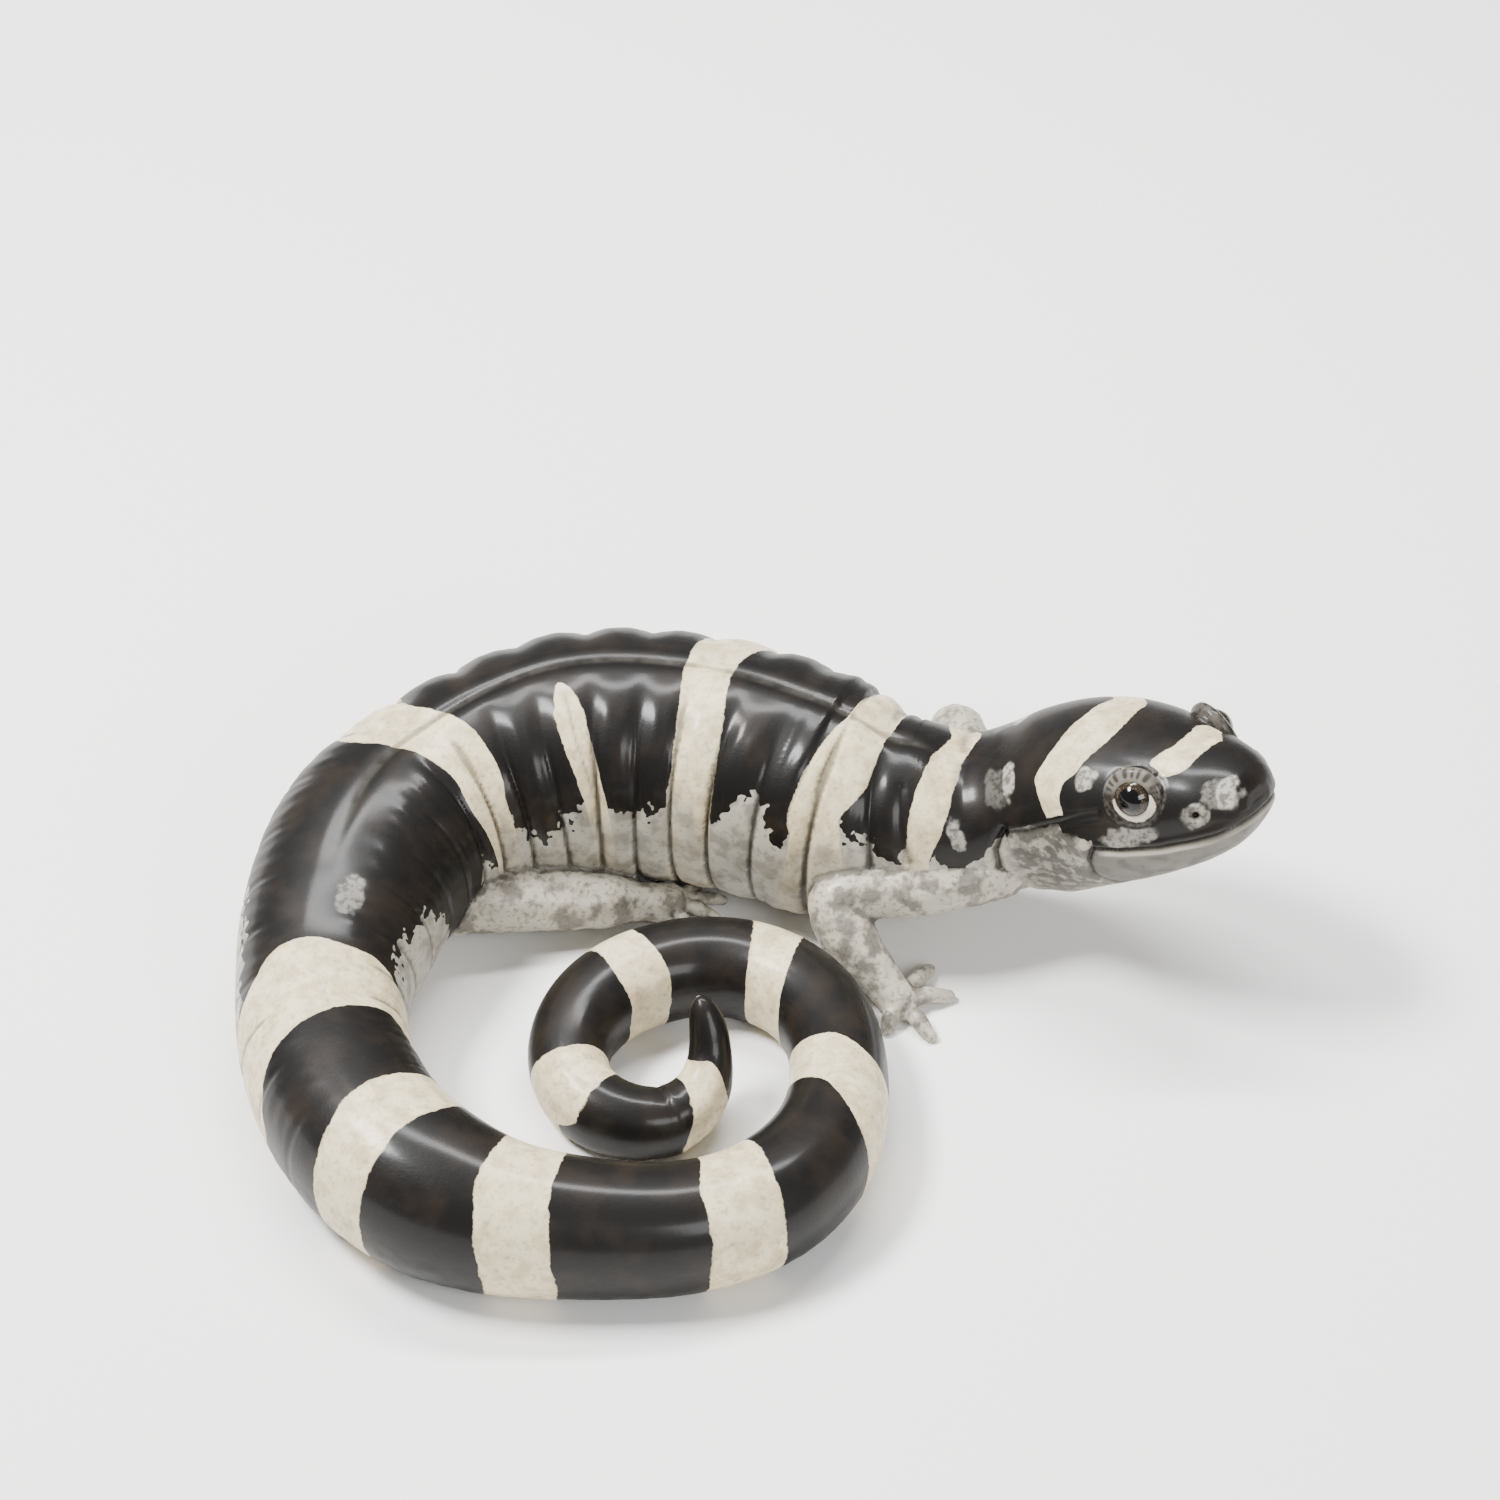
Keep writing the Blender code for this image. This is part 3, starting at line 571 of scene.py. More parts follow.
creases = (
    {
        "rows": ((22.0, 14), (22.7, 9), (23.6, 0), (24.1, -17), (23.9, -32), (23.4, -60), (23.2, -90)),
        "deep": 0.55, "wide": 0.36,
    },
    {"rows": ((11.4, -7), (12.6, -16), (13.1, -28), (12.8, -40), (12.0, -52)), "deep": 0.4, "wide": 0.3},
    {
        "rows": ((22.5, 13), (19.9, 10.6), (16.9, 11.9), (14.7, 12.1), (12.6, 13.6), (10.0, 15)),
        "deep": 0.22, "wide": 0.35,
    },
    {"rows": ((25.2, 30), (25.0, 55), (24.8, 80)), "deep": 0.1, "wide": 0.5},
    {"rows": ((29.9, 12), (30.2, 34), (30.0, 56)), "deep": 0.16, "wide": 0.45},
)
mouth = {
    "line": ((-2, -0.9), (0.5, -1.0), (3, -1.25), (6, -1.4), (9, -1.3), (11.4, -0.95)),
    "end": (11.7, 11.0), "deep": 0.34, "wide": 0.17, "lip": 0.16, "lipFrom": (0.2, 2.2), "lipAway": 0.5,
    "lipWide": 0.3,
}
nostril = {
    "at": 2.55, "side": 4.35, "up": 0.85, "wide": 0.3, "deep": 0.5,
    "rim": 0.1, "rimAway": 0.62, "rimWide": 0.22,
}
angle = np.degrees(np.arctan2(up, side))  # 0 right side, 90 back, 180 left side
mirrored = np.where(np.abs(angle) > 90, np.sign(angle) * 180 - angle, angle)
radiusHere = (wide + tall) / 2


def lineDistance(rows, at, arc, scale):
    best = np.full(len(at), 1e9)
    for (u0, a0), (u1, a1) in zip(rows, rows[1:]):
        v0 = np.radians(a0) * scale
        v1 = np.radians(a1) * scale
        du = u1 - u0
        dv = v1 - v0
        t = np.clip(((at - u0) * du + (arc - v0) * dv) / (du * du + dv * dv), 0, 1)
        best = np.minimum(best, np.hypot(at - u0 - t * du, arc - v0 - t * dv))
    return best


arc = np.radians(mirrored) * radiusHere
flankShare = band(folds["flank"], mirrored)
torsoShare = band(folds["torso"], along)
tailShare = band(folds["tail"], along)
phase = (along - folds["first"]) / folds["spacing"]
grooveAway = np.abs(phase - np.round(phase)) * folds["spacing"]
groove = hump(grooveAway, folds["grooveWide"])
high = fade(*folds["highFrom"], mirrored)  # broad, soft grooves near the back
groove = groove * (1 - high) + folds["highDepth"] * high * hump(grooveAway, folds["highWide"])
uneven = 1 + folds["uneven"] * np.sin(np.round(phase) * 2.4)
grooveDepth = folds["groove"] * torsoShare + folds["tailGroove"] * tailShare
relief = -grooveDepth * groove * flankShare * uneven
swell = np.cos(2 * np.pi * grooveAway / folds["spacing"]) * -0.5
relief += (folds["roll"] + folds["highRoll"] * high) * torsoShare * flankShare * swell
drift = folds["drift"] * np.sin(arc * 0.7 + 1.3 * np.sin(along * 0.4))
slits = np.cos(2 * np.pi * (along + drift) / folds["spacing"] * 3)
slits = slits * fade(*folds["slitsAway"], grooveAway) * folds["slits"] * band(folds["slitsAt"], mirrored)
relief += slits * np.maximum(torsoShare, folds["slitsOnTail"] * tailShare)
backShare = band(folds["back"], along)
backAway = np.radians(np.abs(angle - 90)) * radiusHere
relief -= folds["backDepth"] * backShare * hump(backAway, folds["backWide"])
relief += folds["backRidge"] * backShare * hump(backAway - folds["ridgeAway"], folds["ridgeWide"])
# Painted shade: besides being pressed in, the creases and the costal grooves low on the flank are darkened in
# the colour, as shade falls in them
creaseShade, creaseDepth = np.zeros((2, len(along)))
for crease in creases:
    near = hump(lineDistance(crease["rows"], along, arc, radiusHere), crease["wide"])
    creaseDepth = np.maximum(creaseDepth, crease["deep"] * near)
    creaseShade = np.maximum(creaseShade, near)
relief -= creaseDepth
grooveShade = hump(grooveAway, folds["grooveShadeLine"]) * torsoShare * fade(*folds["lineTop"], mirrored)
creaseShade = np.maximum(folds["creaseShade"] * creaseShade, grooveShade)
lipAway = up - straightCurve(mouth["line"], along)
mouthShare = fade(*mouth["end"], along)
relief -= mouth["deep"] * mouthShare * hump(lipAway, mouth["wide"])
lipSwell = mouth["lip"] * fade(*mouth["lipFrom"], along)
relief += lipSwell * mouthShare * hump(np.abs(lipAway) - mouth["lipAway"], mouth["lipWide"])
onBody = 1 - onLimb


def meshNormals(mesh, points):
    mesh.vertices.foreach_set("co", points.ravel())
    mesh.update()
    return unit(pointsOf(mesh, "normal"))


normals = meshNormals(skinMesh, skinPoints)
lidShare = np.zeros(len(along))
for lidSide in (1, -1):
    away = lengths(skinPoints - eyeFrame(lidSide)[0])
    lidShare = np.maximum(lidShare, fade(*lids["reach"], away))
relief *= onBody * (1 - lidShare)

# Fleshy unevenness of the limbs, throat and belly
lump = {
    "broad": 0.085, "broadSize": 1.3, "small": 0.05, "smallSize": 0.55, "smallShift": 40, "limbReach": 1.2,
    "throat": (11, 33), "throatTop": 10, "belly": (10, -10), "bellyShare": 0.5,
}


def lumps(points, size):
    return np.array([noise.noise(point) for point in (points / size).tolist()])


throatFrom, throatTo = lump["throat"]
onThroat = (along > throatFrom) & (along < throatTo) & (mirrored < lump["throatTop"])
soft = np.flatnonzero((limbAway < lump["limbReach"]) | onThroat | (mirrored < 0))
fleshy = np.maximum(onLimb, lump["bellyShare"] * fade(*lump["belly"], mirrored))[soft]
smallLumps = lumps(skinPoints[soft] + lump["smallShift"], lump["smallSize"])
small = lump["small"] * onLimb[soft] * smallLumps
broad = lump["broad"] * fleshy * lumps(skinPoints[soft], lump["broadSize"])
relief[soft] += (broad + small) * (1 - lidShare[soft])
for nostrilSide in (1, -1):
    hole = bodyPlace(np.array(nostril["at"]), nostrilSide * nostril["side"], nostril["up"])
    away = lengths(skinPoints - hole)
    relief -= nostril["deep"] * hump(away, nostril["wide"])
    relief += nostril["rim"] * hump(away - nostril["rimAway"], nostril["rimWide"])
skinPoints = skinPoints + normals * relief[:, None]
skinPoints[:, 2] = np.maximum(skinPoints[:, 2], 0.0)
normals = meshNormals(skinMesh, skinPoints)
# Painted shade: hollows, such as the clefts between the toes, are darkened in the colour by how far each
# point lies below its smoothed neighbours
filled = smoothPoints(skinPoints, edgeList, np.ones(len(along)), folds["cavityRounds"]) - skinPoints
cavityShade = fade(*folds["cavityShade"], (filled * normals).sum(1))
print("folds pressed in")

# Pale rings: front and rear edge of each, as rows of angle and distance behind the snout
rings = {
    "crescent": {
        "front": (
            (19, 13.9), (25, 14.3), (30, 14.2), (37, 13.7), (40.5, 12.8), (48.5, 12.1), (56, 11.5),
            (65, 10.9), (82, 10.6), (101, 10.8), (121, 11.2), (140, 13.2), (152, 14.6), (165, 15.2),
        ),
        "rear": (
            (19, 16.4), (26, 16.8), (34.5, 17.3), (43, 17.6), (52, 16.9), (63, 15.9), (77, 15.2),
            (92, 14.6), (107, 14.2), (120, 13.8), (140, 16.0), (152, 17.2), (165, 17.2),
        ),
        "ends": (17, 163),
    },
    "brow": {
        "front": ((44, 5.2), (53, 4.2), (77, 3.8), (100, 3.7), (120, 3.8), (132, 4.6)),
        "rear": ((44, 6.0), (53, 6.6), (64, 6.4), (80, 5.9), (103, 5.9), (125, 6.1), (136, 5.6)),
        "ends": (46, 134),
    },
    "neck": {
        "front": (
            (-20, 29.2), (10, 28.5), (34, 26.4), (63, 25.2), (90, 24.6), (121, 23.8), (150, 25.2),
            (180, 27.8), (200, 29.2),
        ),
        "rear": (
            (-20, 30.6), (12, 30.3), (38, 29.4), (52, 28.7), (67, 27.6), (90, 26.5), (115, 25.9),
            (150, 27.4), (180, 29.6), (200, 30.6),
        ),
    },
    "shoulder": {
        "front": (
            (-30, 34.8), (13, 34.4), (26, 34.7), (36, 34.9), (43, 34.3), (50, 33.6), (58, 33.1),
            (73, 32.8), (84, 32.6), (102, 31.9), (119, 31.8), (150, 32.5), (210, 34.8),
        ),
        "rear": (
            (-30, 38.3), (20, 38.4), (31, 39.0), (45, 39.1), (55, 39.0), (68, 38.7), (83, 38.2),
            (96, 37.6), (115, 36.6), (150, 37.0), (210, 38.3),
        ),
    },
    "middle": {
        "front": ((-30, 44.6), (-5, 44.9), (48, 45.5), (86, 46.7)),
        "rear": ((-30, 50.3), (-9, 50.2), (44, 49.9), (80, 50.4), (114, 51.0)),
        "mirror": True,
    },
    "rear": {
        "front": (
            (-30, 69.0), (-7, 68.7), (20, 68.4), (33, 68.4), (41, 67.9), (62, 68.1), (84, 69.1),
            (108, 71.0), (150, 70.0),
        ),
        "rear": (
            (-30, 72.3), (0, 72.3), (20, 73.2), (36, 74.1), (55, 73.8), (76, 74.6), (116, 76.3),
            (150, 75.0),
        ),
    },
    "hip": {
        "front": (
            (-20, 99.0), (20, 97.5), (35, 96.1), (51, 95.3), (73, 94.8), (90, 94.2), (115, 94.8),
            (139, 97.0), (170, 99),
        ),
        "rear": (
            (-20, 106.5), (28, 104.6), (42, 102.3), (61, 102.1), (88, 102.2), (125, 103.3),
            (146, 104.3), (175, 106),
        ),
    },
}
tailRings = (
    {
        "front": ((-30, 111.6), (50, 110.7), (99, 110.3), (136, 111.3), (210, 112.2)),
        "rear": ((-30, 116.2), (67, 115.6), (91, 115.0), (123, 115.0), (190, 115.5)),
    },
    {
        "front": ((-30, 122.0), (72, 121.1), (105, 120.8), (142, 121.5), (194, 122.5)),
        "rear": ((-30, 127.0), (67, 126.5), (109, 126.0), (147, 126.3), (196, 127.0)),
    },
    {
        "front": ((-30, 138.2), (60, 137.6), (104, 136.6), (144, 136.8), (192, 136.6)),
        "rear": ((-30, 143.6), (60, 142.8), (106, 141.8), (140, 141.3), (182, 141.2)),
    },
    {
        "front": ((-30, 154.5), (76, 152.3), (123, 149.5), (190, 148.0)),
        "rear": ((-30, 159.4), (53, 158.3), (85, 157.9), (123, 156.2), (156, 155.0), (200, 154.0)),
    },
    {
        "front": ((-30, 163.8), (14, 164.3), (47, 165.8), (75, 167.1), (116, 168.5), (200, 170)),
        "rear": ((-16, 170.3), (23, 170.3), (55, 170.9), (92, 171.6), (200, 173.4)),
    },
    {
        "front": ((-22, 179.9), (22, 179.4), (53, 179.4), (95, 180.0), (200, 180.5)),
        "rear": ((-2, 185.2), (30, 184.3), (63, 184.1), (104, 183.5), (200, 183.6)),
    },
    {
        "front": ((-30, 192.8), (58, 192.5), (103, 192.5), (200, 192.3)),
        "rear": ((-30, 196.8), (90, 196.8), (134, 196.8), (167, 196.6), (190, 195.6)),
    },
    {
        "front": ((-30, 206.0), (65, 205.3), (112, 204.3), (149, 203.5), (196, 202.5)),
        "rear": ((-30, 208.6), (68, 208.2), (99, 208.3), (156, 206.5), (200, 206.0)),
    },
)
fullAngle = np.where(angle < -90, angle + 360, angle)  # -90 under the belly, 90 back, 270 under it again
folded = np.where(fullAngle > 90, 180 - fullAngle, fullAngle)
ringInside = np.full(len(along), -9.0)
for ring in (*rings.values(), *tailRings):
    at = folded if ring.get("mirror") else fullAngle
    inside = np.minimum(along - smoothCurve(ring["front"], at), smoothCurve(ring["rear"], at) - along)
    if "ends" in ring:
        low, high = ring["ends"]  # the first and the last angle
        endAway = np.minimum(fullAngle - low, high - fullAngle)
        inside = np.minimum(inside, np.radians(endAway) * radiusHere)
    ringInside = np.maximum(ringInside, inside)

# One leaf-shaped bar on the right side only
leaf = {
    "line": ((-10, 57.6), (8, 57.9), (29, 58.8), (48, 59.6), (66, 59.9), (78, 60.2)),
    "wide": 1.25, "top": 78, "taper": 18, "edge": 0.05,
    "vein": 0.13, "veinAt": (12, 30, 75, 66), "veinTone": 0.7,
}
leafWide = leaf["wide"] * np.sqrt(np.clip((leaf["top"] - fullAngle) / leaf["taper"], 0, 1))
leafAway = along - straightCurve(leaf["line"], fullAngle)
leafInside = leafWide - leaf["edge"] - np.abs(leafAway)
ringInside = np.maximum(ringInside, np.where(fullAngle < leaf["top"], leafInside, -9))
leafVein = hump(leafAway, leaf["vein"]) * band(leaf["veinAt"], fullAngle)

# The ragged edge between the dark back and the pale flank, as rows of distance and angle
flankEdge = (
    (0, -95), (9.9, -95), (10.0, -20), (11.2, -3), (12.4, 3), (15.2, 10), (20.3, 14), (22.8, 10),
    (25.0, -3), (27.0, -4), (28.2, 10), (30.3, 15), (31.5, 14), (32.9, 25), (34.5, 26), (35.3, 34),
    (36.6, 28), (37.8, 22), (39.5, 11), (40.3, 21), (41.3, 36), (42.7, 31), (42.9, 25), (44.0, 18),
    (45.3, 12), (46.4, 20), (46.9, 33), (49.9, 34), (50.1, 19), (51.7, 14), (52.8, 10), (55.2, 10),
    (56.6, 15), (57.9, 20), (59.8, 18), (61.4, 8), (62.6, 10), (64.6, 0), (66.7, 4), (68.4, 22),
    (70.0, 36), (72.1, -2), (75.2, 4), (78, -30), (83, -30), (85.3, 11), (87.7, 23), (90.1, 28),
    (91.6, 33), (94.3, 31), (97, 25), (101, 22), (104, -10), (108, -60), (112, -100), (214, -100),
)
flankInside = np.radians(straightCurve(flankEdge, along) - folded) * radiusHere
print("rings mapped")

# Soft-edged patches: place, angle, size along, size across, and how pale or dark they are. The pale ones high
# on the snout, behind the eye and on the neck are painted highlights, and the cheek and tail-root ones are
# pale marks. The dark ones are dark spots and painted shade inside the nostrils.
paleAndSheenPatches = (
    (2.6, 10, 1.0, 0.9, 0.6), (11.5, 37, 1.2, 1.0, 0.9), (22.0, 46, 1.0, 1.9, 0.2),
    (20.7, 50, 0.65, 1.6, 0.9), (7.8, -1, 2.4, 0.8, 0.6), (26.0, 21, 0.6, 1.5, 0.75),
)
rightSheenAndPaleMark = ((1.5, 38, 0.95, 1.2, 0.35), (0.9, 44, 0.7, 1.4, 0.95), (89.6, 73, 1.9, 1.1, 0.42))
darkSpotsAndNostrilShade = ((12.9, 7.5, 1.2, 0.75, 1.0), (4.4, 3, 1.3, 1.1, 0.9), (2.55, 11, 0.25, 0.25, 1.0))
patchEdge = (1.45, 0.5)


def patchTone(patches, turned=mirrored):
    shape, tone = np.zeros((2, len(along)))
    for at, where, longSize, acrossSize, strength in patches:
        away = np.hypot((along - at) / longSize, np.radians(turned - where) * radiusHere / acrossSize)
        near = fade(*patchEdge, away)
        tone = np.where(near > 0.8 * shape, strength, tone)
        shape = np.maximum(shape, near)
    return shape, tone


paleShape, paleTone = patchTone(paleAndSheenPatches)
rightShape, rightTone = patchTone(rightSheenAndPaleMark, fullAngle)
darkShape, darkTone = patchTone(darkSpotsAndNostrilShade)

# Jaw, lip and throat: pairs of millimetres below the mouth's line, or behind the snout
chin = {
    "jawBelow": (-0.02, 0.08), "jawEnd": (13.2, 12.6), "lip": (0.12, 0.24, 0.66, 0.4), "lipEnd": (11.2, 10.0),
    "lipSnout": (1.5, 4), "throat": (12.6, 13.4, 22.9, 21.7), "throatUp": (-85, -30), "ragFrom": (24, 31),
}
jawBelow = -lipAway
lipTone = band(chin["lip"], jawBelow) * fade(*chin["lipEnd"], along)
lipTone = lipTone * (0.45 + 0.55 * fade(*chin["lipSnout"], along))
marks = {
    "ring": ringInside,
    "flank": flankInside,
    "rag": 0.3 + 0.7 * fade(*chin["ragFrom"], along),
    "limb": onLimb,
    "cavityShade": cavityShade,
    # painted highlight: a pale line along the dorsal groove
    "back": backShare * hump(backAway, folds["backHighlight"]),
    # painted shade in the creases and grooves, with the dark vein line of the leaf-shaped bar
    "crease": np.maximum(creaseShade, leaf["veinTone"] * leafVein) * onBody * (1 - lidShare),
    # pale marks, and painted highlights on the snout, behind the eye and on the neck
    "paleAndSheen": np.maximum(paleShape, rightShape),
    "paleTone": np.where(rightShape > paleShape, rightTone, paleTone),
    # dark spots, and painted shade inside the nostrils
    "dark": darkShape * darkTone,
    "jaw": fade(*chin["jawBelow"], jawBelow) * fade(*chin["jawEnd"], along),
    "lip": lipTone,
    "throat": band(chin["throat"], along) * fade(*chin["throatUp"], mirrored),
    "lid": lidShare,
    "lidTop": lidTop,
    "lidStripe": lidStripe,
    "lidPale": lidPale,
}


def addMarks(mesh, values):
    for name, value in values.items():
        layer = mesh.attributes.new(name, "FLOAT", "POINT")
        layer.data.foreach_set("value", value.astype(np.float32))


addMarks(skinMesh, marks)


# Materials
class Finish:  # in its sums and mixes a name stands for one of its tones or colours
    def __init__(self, name, colors=None):
        self.colors = colors
        self.tones = {}
        self.material = bpy.data.materials.new(name)
        self.material.use_nodes = True
        self.tree = self.material.node_tree
        self.shader = self.tree.nodes["Principled BSDF"]

    def link(self, source, target):
        self.tree.links.new(source, target)

    def set(self, values):
        for name, value in values.items():
            self.shader.inputs[name].default_value = value

    def value(self, name):
        node = self.tree.nodes.new("ShaderNodeAttribute")
        node.attribute_name = name
        return node.outputs["Fac"]

    def millimetres(self):
        spot = self.tree.nodes.new("ShaderNodeTexCoord")
        scale = self.tree.nodes.new("ShaderNodeVectorMath")
        scale.operation = "SCALE"
        scale.inputs["Scale"].default_value = 1000.0
        self.link(spot.outputs["Object"], scale.inputs[0])
        return scale.outputs[0]

    def noise(self, spot, scale, detail):
        node = self.tree.nodes.new("ShaderNodeTexNoise")
        node.inputs["Scale"].default_value = scale
        node.inputs["Detail"].default_value = detail
        self.link(spot, node.inputs["Vector"])
        return node.outputs["Fac"]

    def math(self, operation, a, b):
        node = self.tree.nodes.new("ShaderNodeMath")
        node.operation = operation
        for socket, item in zip(node.inputs, (a, b)):
            if isinstance(item, (int, float)):
                socket.default_value = item
            else:
                self.link(self.tone(item), socket)
        return node.outputs[0]

    def tone(self, item):
        return self.tones[item] if isinstance(item, str) else item

    def times(self, a, b):
        return self.math("MULTIPLY", a, b)

    def plus(self, a, b):
        return self.math("ADD", a, b)

    def swing(self, source, strength):  # a noise about nought
        return self.times(self.math("SUBTRACT", source, 0.5), strength)

    def between(self, value, low, high, outLow=0.0, outHigh=1.0):
        node = self.tree.nodes.new("ShaderNodeMapRange")
        node.interpolation_type = "SMOOTHSTEP"
        for name, item in (("From Min", low), ("From Max", high), ("To Min", outLow), ("To Max", outHigh)):
            node.inputs[name].default_value = item
        self.link(value, node.inputs["Value"])
        return node.outputs[0]

    def mix(self, share, first, second):
        node = self.tree.nodes.new("ShaderNodeMix")
        node.data_type = "RGBA"
        self.link(self.tone(share), node.inputs[0])
        for socket, item in ((node.inputs[6], first), (node.inputs[7], second)):
            if isinstance(item, str):
                socket.default_value = (*self.colors[item], 1.0)
            else:
                self.link(item, socket)
        return node.outputs[2]


skinColors = {
    # the grey for the line along the back is a painted highlight
    "black": (0.0045, 0.004, 0.0036), "brown": (0.012, 0.0085, 0.0062), "backHighlight": (0.085, 0.078, 0.066),
    "cream": (0.66, 0.57, 0.38), "straw": (0.48, 0.40, 0.25), "belly": (0.38, 0.355, 0.295),
    "slate": (0.13, 0.12, 0.10), "limbPale": (0.40, 0.37, 0.30), "limbDark": (0.085, 0.075, 0.062),
    "throat": (0.04, 0.036, 0.03), "jaw": (0.125, 0.115, 0.096), "jawShade": (0.075, 0.069, 0.06),
    # the sheen grey paints highlights on the head and neck, and the pale marks
    "lip": (0.38, 0.35, 0.285), "sheenAndPaleMark": (0.36, 0.34, 0.30), "lidGrey": (0.05, 0.045, 0.038),
    # the pale lid rim grey is a painted reflection
    "lidPale": (0.15, 0.138, 0.115), "lidRimReflection": (0.50, 0.46, 0.38),
}
skinShine = {"Roughness": 0.5, "Specular IOR Level": 0.13, "Coat Weight": 0.22, "Coat Roughness": 0.18}
skinGrain = {"strength": 0.3, "distance": 0.00006, "fineShare": 0.8}
skinNoise = {  # scale for each millimetre, detail
    "broad": (0.3, 3), "medium": (0.75, 4), "fine": (2.4, 3), "grain": (7.0, 2), "lobes": (1.25, 1),
    "blotch": (0.5, 4), "mottle": (1.1, 4), "crumbs": (1.05, 1.5),
}
skinTones = {  # a noise or a mark, its low and high end, and the shares there
    "backBrown": ("broad", 0.42, 0.7), "backHighlightBroken": ("medium", 0.35, 0.6, 0.25, 0.9),
    "bellySlate": ("medium", 0.42, 0.64, 0.0, 0.6), "bellySpecks": ("fine", 0.56, 0.68, 0.0, 0.45),
    "throatMottle": ("mottle", 0.38, 0.53, 0.2, 1.0), "ringStraw": ("medium", 0.38, 0.68),
    "ringSpecks": ("fine", 0.5, 0.75, 0.0, 0.4), "ringMerge": ("flank", 0.3, 3.2, 1.0, 0.25),
    "patchShape": ("paleAndSheen", 0.02, 0.5), "patchSpecks": ("fine", 0.42, 0.66),
    "jawShaded": ("medium", 0.4, 0.65), "lidGreyed": ("fine", 0.4, 0.64),
    "lidHatch": ("lidStripe", 0.1, 0.9, 0.0, 0.8),
    "lidBroken": ("medium", 0.3, 0.55, 0.5, 1.0), "lidReflectionShare": ("lidPale", 0.2, 0.7),
    "lidShape": ("lid", 0.2, 0.8), "limbBlotch": ("blotch", 0.47, 0.6, 0.0, 0.75),
    "limbSpecks": ("fine", 0.5, 0.68, 0.0, 0.55),
}
skinSwings = {  # a noise and its strength
    "ragLobes": ("lobes", 5.0), "ragFine": ("fine", 0.7), "ringWobble": ("medium", 0.9),
    "ringFine": ("fine", 0.5), "crumbled": ("crumbs", 1.9),
}
skinEdges = {"flank": (-0.08, 0.08), "ring": (-0.06, 0.06), "patch": (0.3, 0.85)}
skinShares = {"throat": 0.8, "wobble": 0.5, "cavityShade": 0.6, "crease": 0.75}


def mixTones(finish):
    spot = finish.millimetres()
    tones = finish.tones
    for name, (scale, detail) in skinNoise.items():
        tones[name] = finish.noise(spot, scale, detail)
    for name in marks:
        tones[name] = finish.value(name)
    for name, (source, *ends) in skinTones.items():
        tones[name] = finish.between(tones[source], *ends)
    for name, (source, strength) in skinSwings.items():
        tones[name] = finish.swing(source, strength)


def paintBack(finish):
    dark = finish.mix("backBrown", "black", "brown")
    # Painted highlight: a broken pale line along the dorsal groove
    return finish.mix(finish.times("back", "backHighlightBroken"), dark, "backHighlight")


def paintFlank(finish, color):
    ragged = finish.plus(finish.times(finish.plus("ragLobes", "ragFine"), "rag"), "flank")
    paleSide = finish.between(ragged, *skinEdges["flank"])
    belly = finish.mix("bellySlate", "belly", "slate")
    belly = finish.mix("bellySpecks", belly, "slate")
    color = finish.mix(paleSide, color, belly)
    shaded = finish.times(paleSide, skinShares["throat"])
    return finish.mix(finish.times(finish.times("throatMottle", "throat"), shaded), color, "throat")


def paintRings(finish, color):
    wobble = finish.times(finish.plus("ringWobble", "ringFine"), skinShares["wobble"])
    onRing = finish.between(finish.plus(wobble, "ring"), *skinEdges["ring"])
    ring = finish.mix("ringStraw", "cream", "straw")
    ring = finish.mix("ringSpecks", ring, "slate")
    return finish.mix(finish.times(onRing, "ringMerge"), color, ring)


def paintPatches(finish, color):
    crumbled = finish.between(finish.plus("paleAndSheen", "crumbled"), *skinEdges["patch"])
    patch = finish.times(finish.times(crumbled, "patchShape"), "paleTone")
    # pale patches in a grey that stands for painted highlights on the head and neck, and for pale marks
    # elsewhere
    return finish.mix(patch, color, finish.mix("patchSpecks", "sheenAndPaleMark", "slate"))


def paintJaw(finish, color):
    jaw = finish.mix("jawShaded", "jaw", "jawShade")
    return finish.mix("lip", finish.mix("jaw", color, jaw), "lip")


def paintLids(finish, color):
    lid = finish.mix("lidGreyed", "brown", "lidGrey")
    hatched = finish.mix("lidHatch", "lidPale", "brown")
    lid = finish.mix(finish.times("lidTop", "lidBroken"), lid, hatched)
    # painted reflection: the pale crescent below the eye
    lid = finish.mix("lidReflectionShare", lid, "lidRimReflection")
    return finish.mix("lidShape", color, lid)


def paintLimbs(finish, color):
    limb = finish.mix("limbBlotch", "limbPale", "limbDark")
    limb = finish.mix("limbSpecks", limb, "limbDark")
    return finish.mix("limb", color, limb)


def makeSkinFinish():
    finish = Finish("ringedSkin", skinColors)
    mixTones(finish)
    color = paintBack(finish)
    for paint in (paintFlank, paintRings, paintPatches, paintJaw, paintLids):
        color = paint(finish, color)
    # dark patches, painted shade in the nostrils among them, are mixed towards black
    color = paintLimbs(finish, finish.mix("dark", color, "black"))
    # painted shade: hollows, creases and grooves are darkened towards black
    for name in ("cavityShade", "crease"):
        color = finish.mix(finish.times(name, skinShares[name]), color, "black")
    finish.link(color, finish.shader.inputs["Base Color"])
    finish.set(skinShine)
    bump = finish.tree.nodes.new("ShaderNodeBump")
    bump.inputs["Strength"].default_value = skinGrain["strength"]
    bump.inputs["Distance"].default_value = skinGrain["distance"]
    height = finish.plus("grain", finish.times("fine", skinGrain["fineShare"]))
    finish.link(height, bump.inputs["Height"])
    finish.link(bump.outputs[0], finish.shader.inputs["Normal"])
    return finish.material


def dress(name, mesh, material):
    mesh.name = name
    mesh.transform(Matrix.Scale(mm, 4))
    mesh.shade_smooth()
    mesh.materials.clear()
    mesh.materials.append(material)
    obj = newObject(name, mesh)
    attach(obj, "root")
    return obj


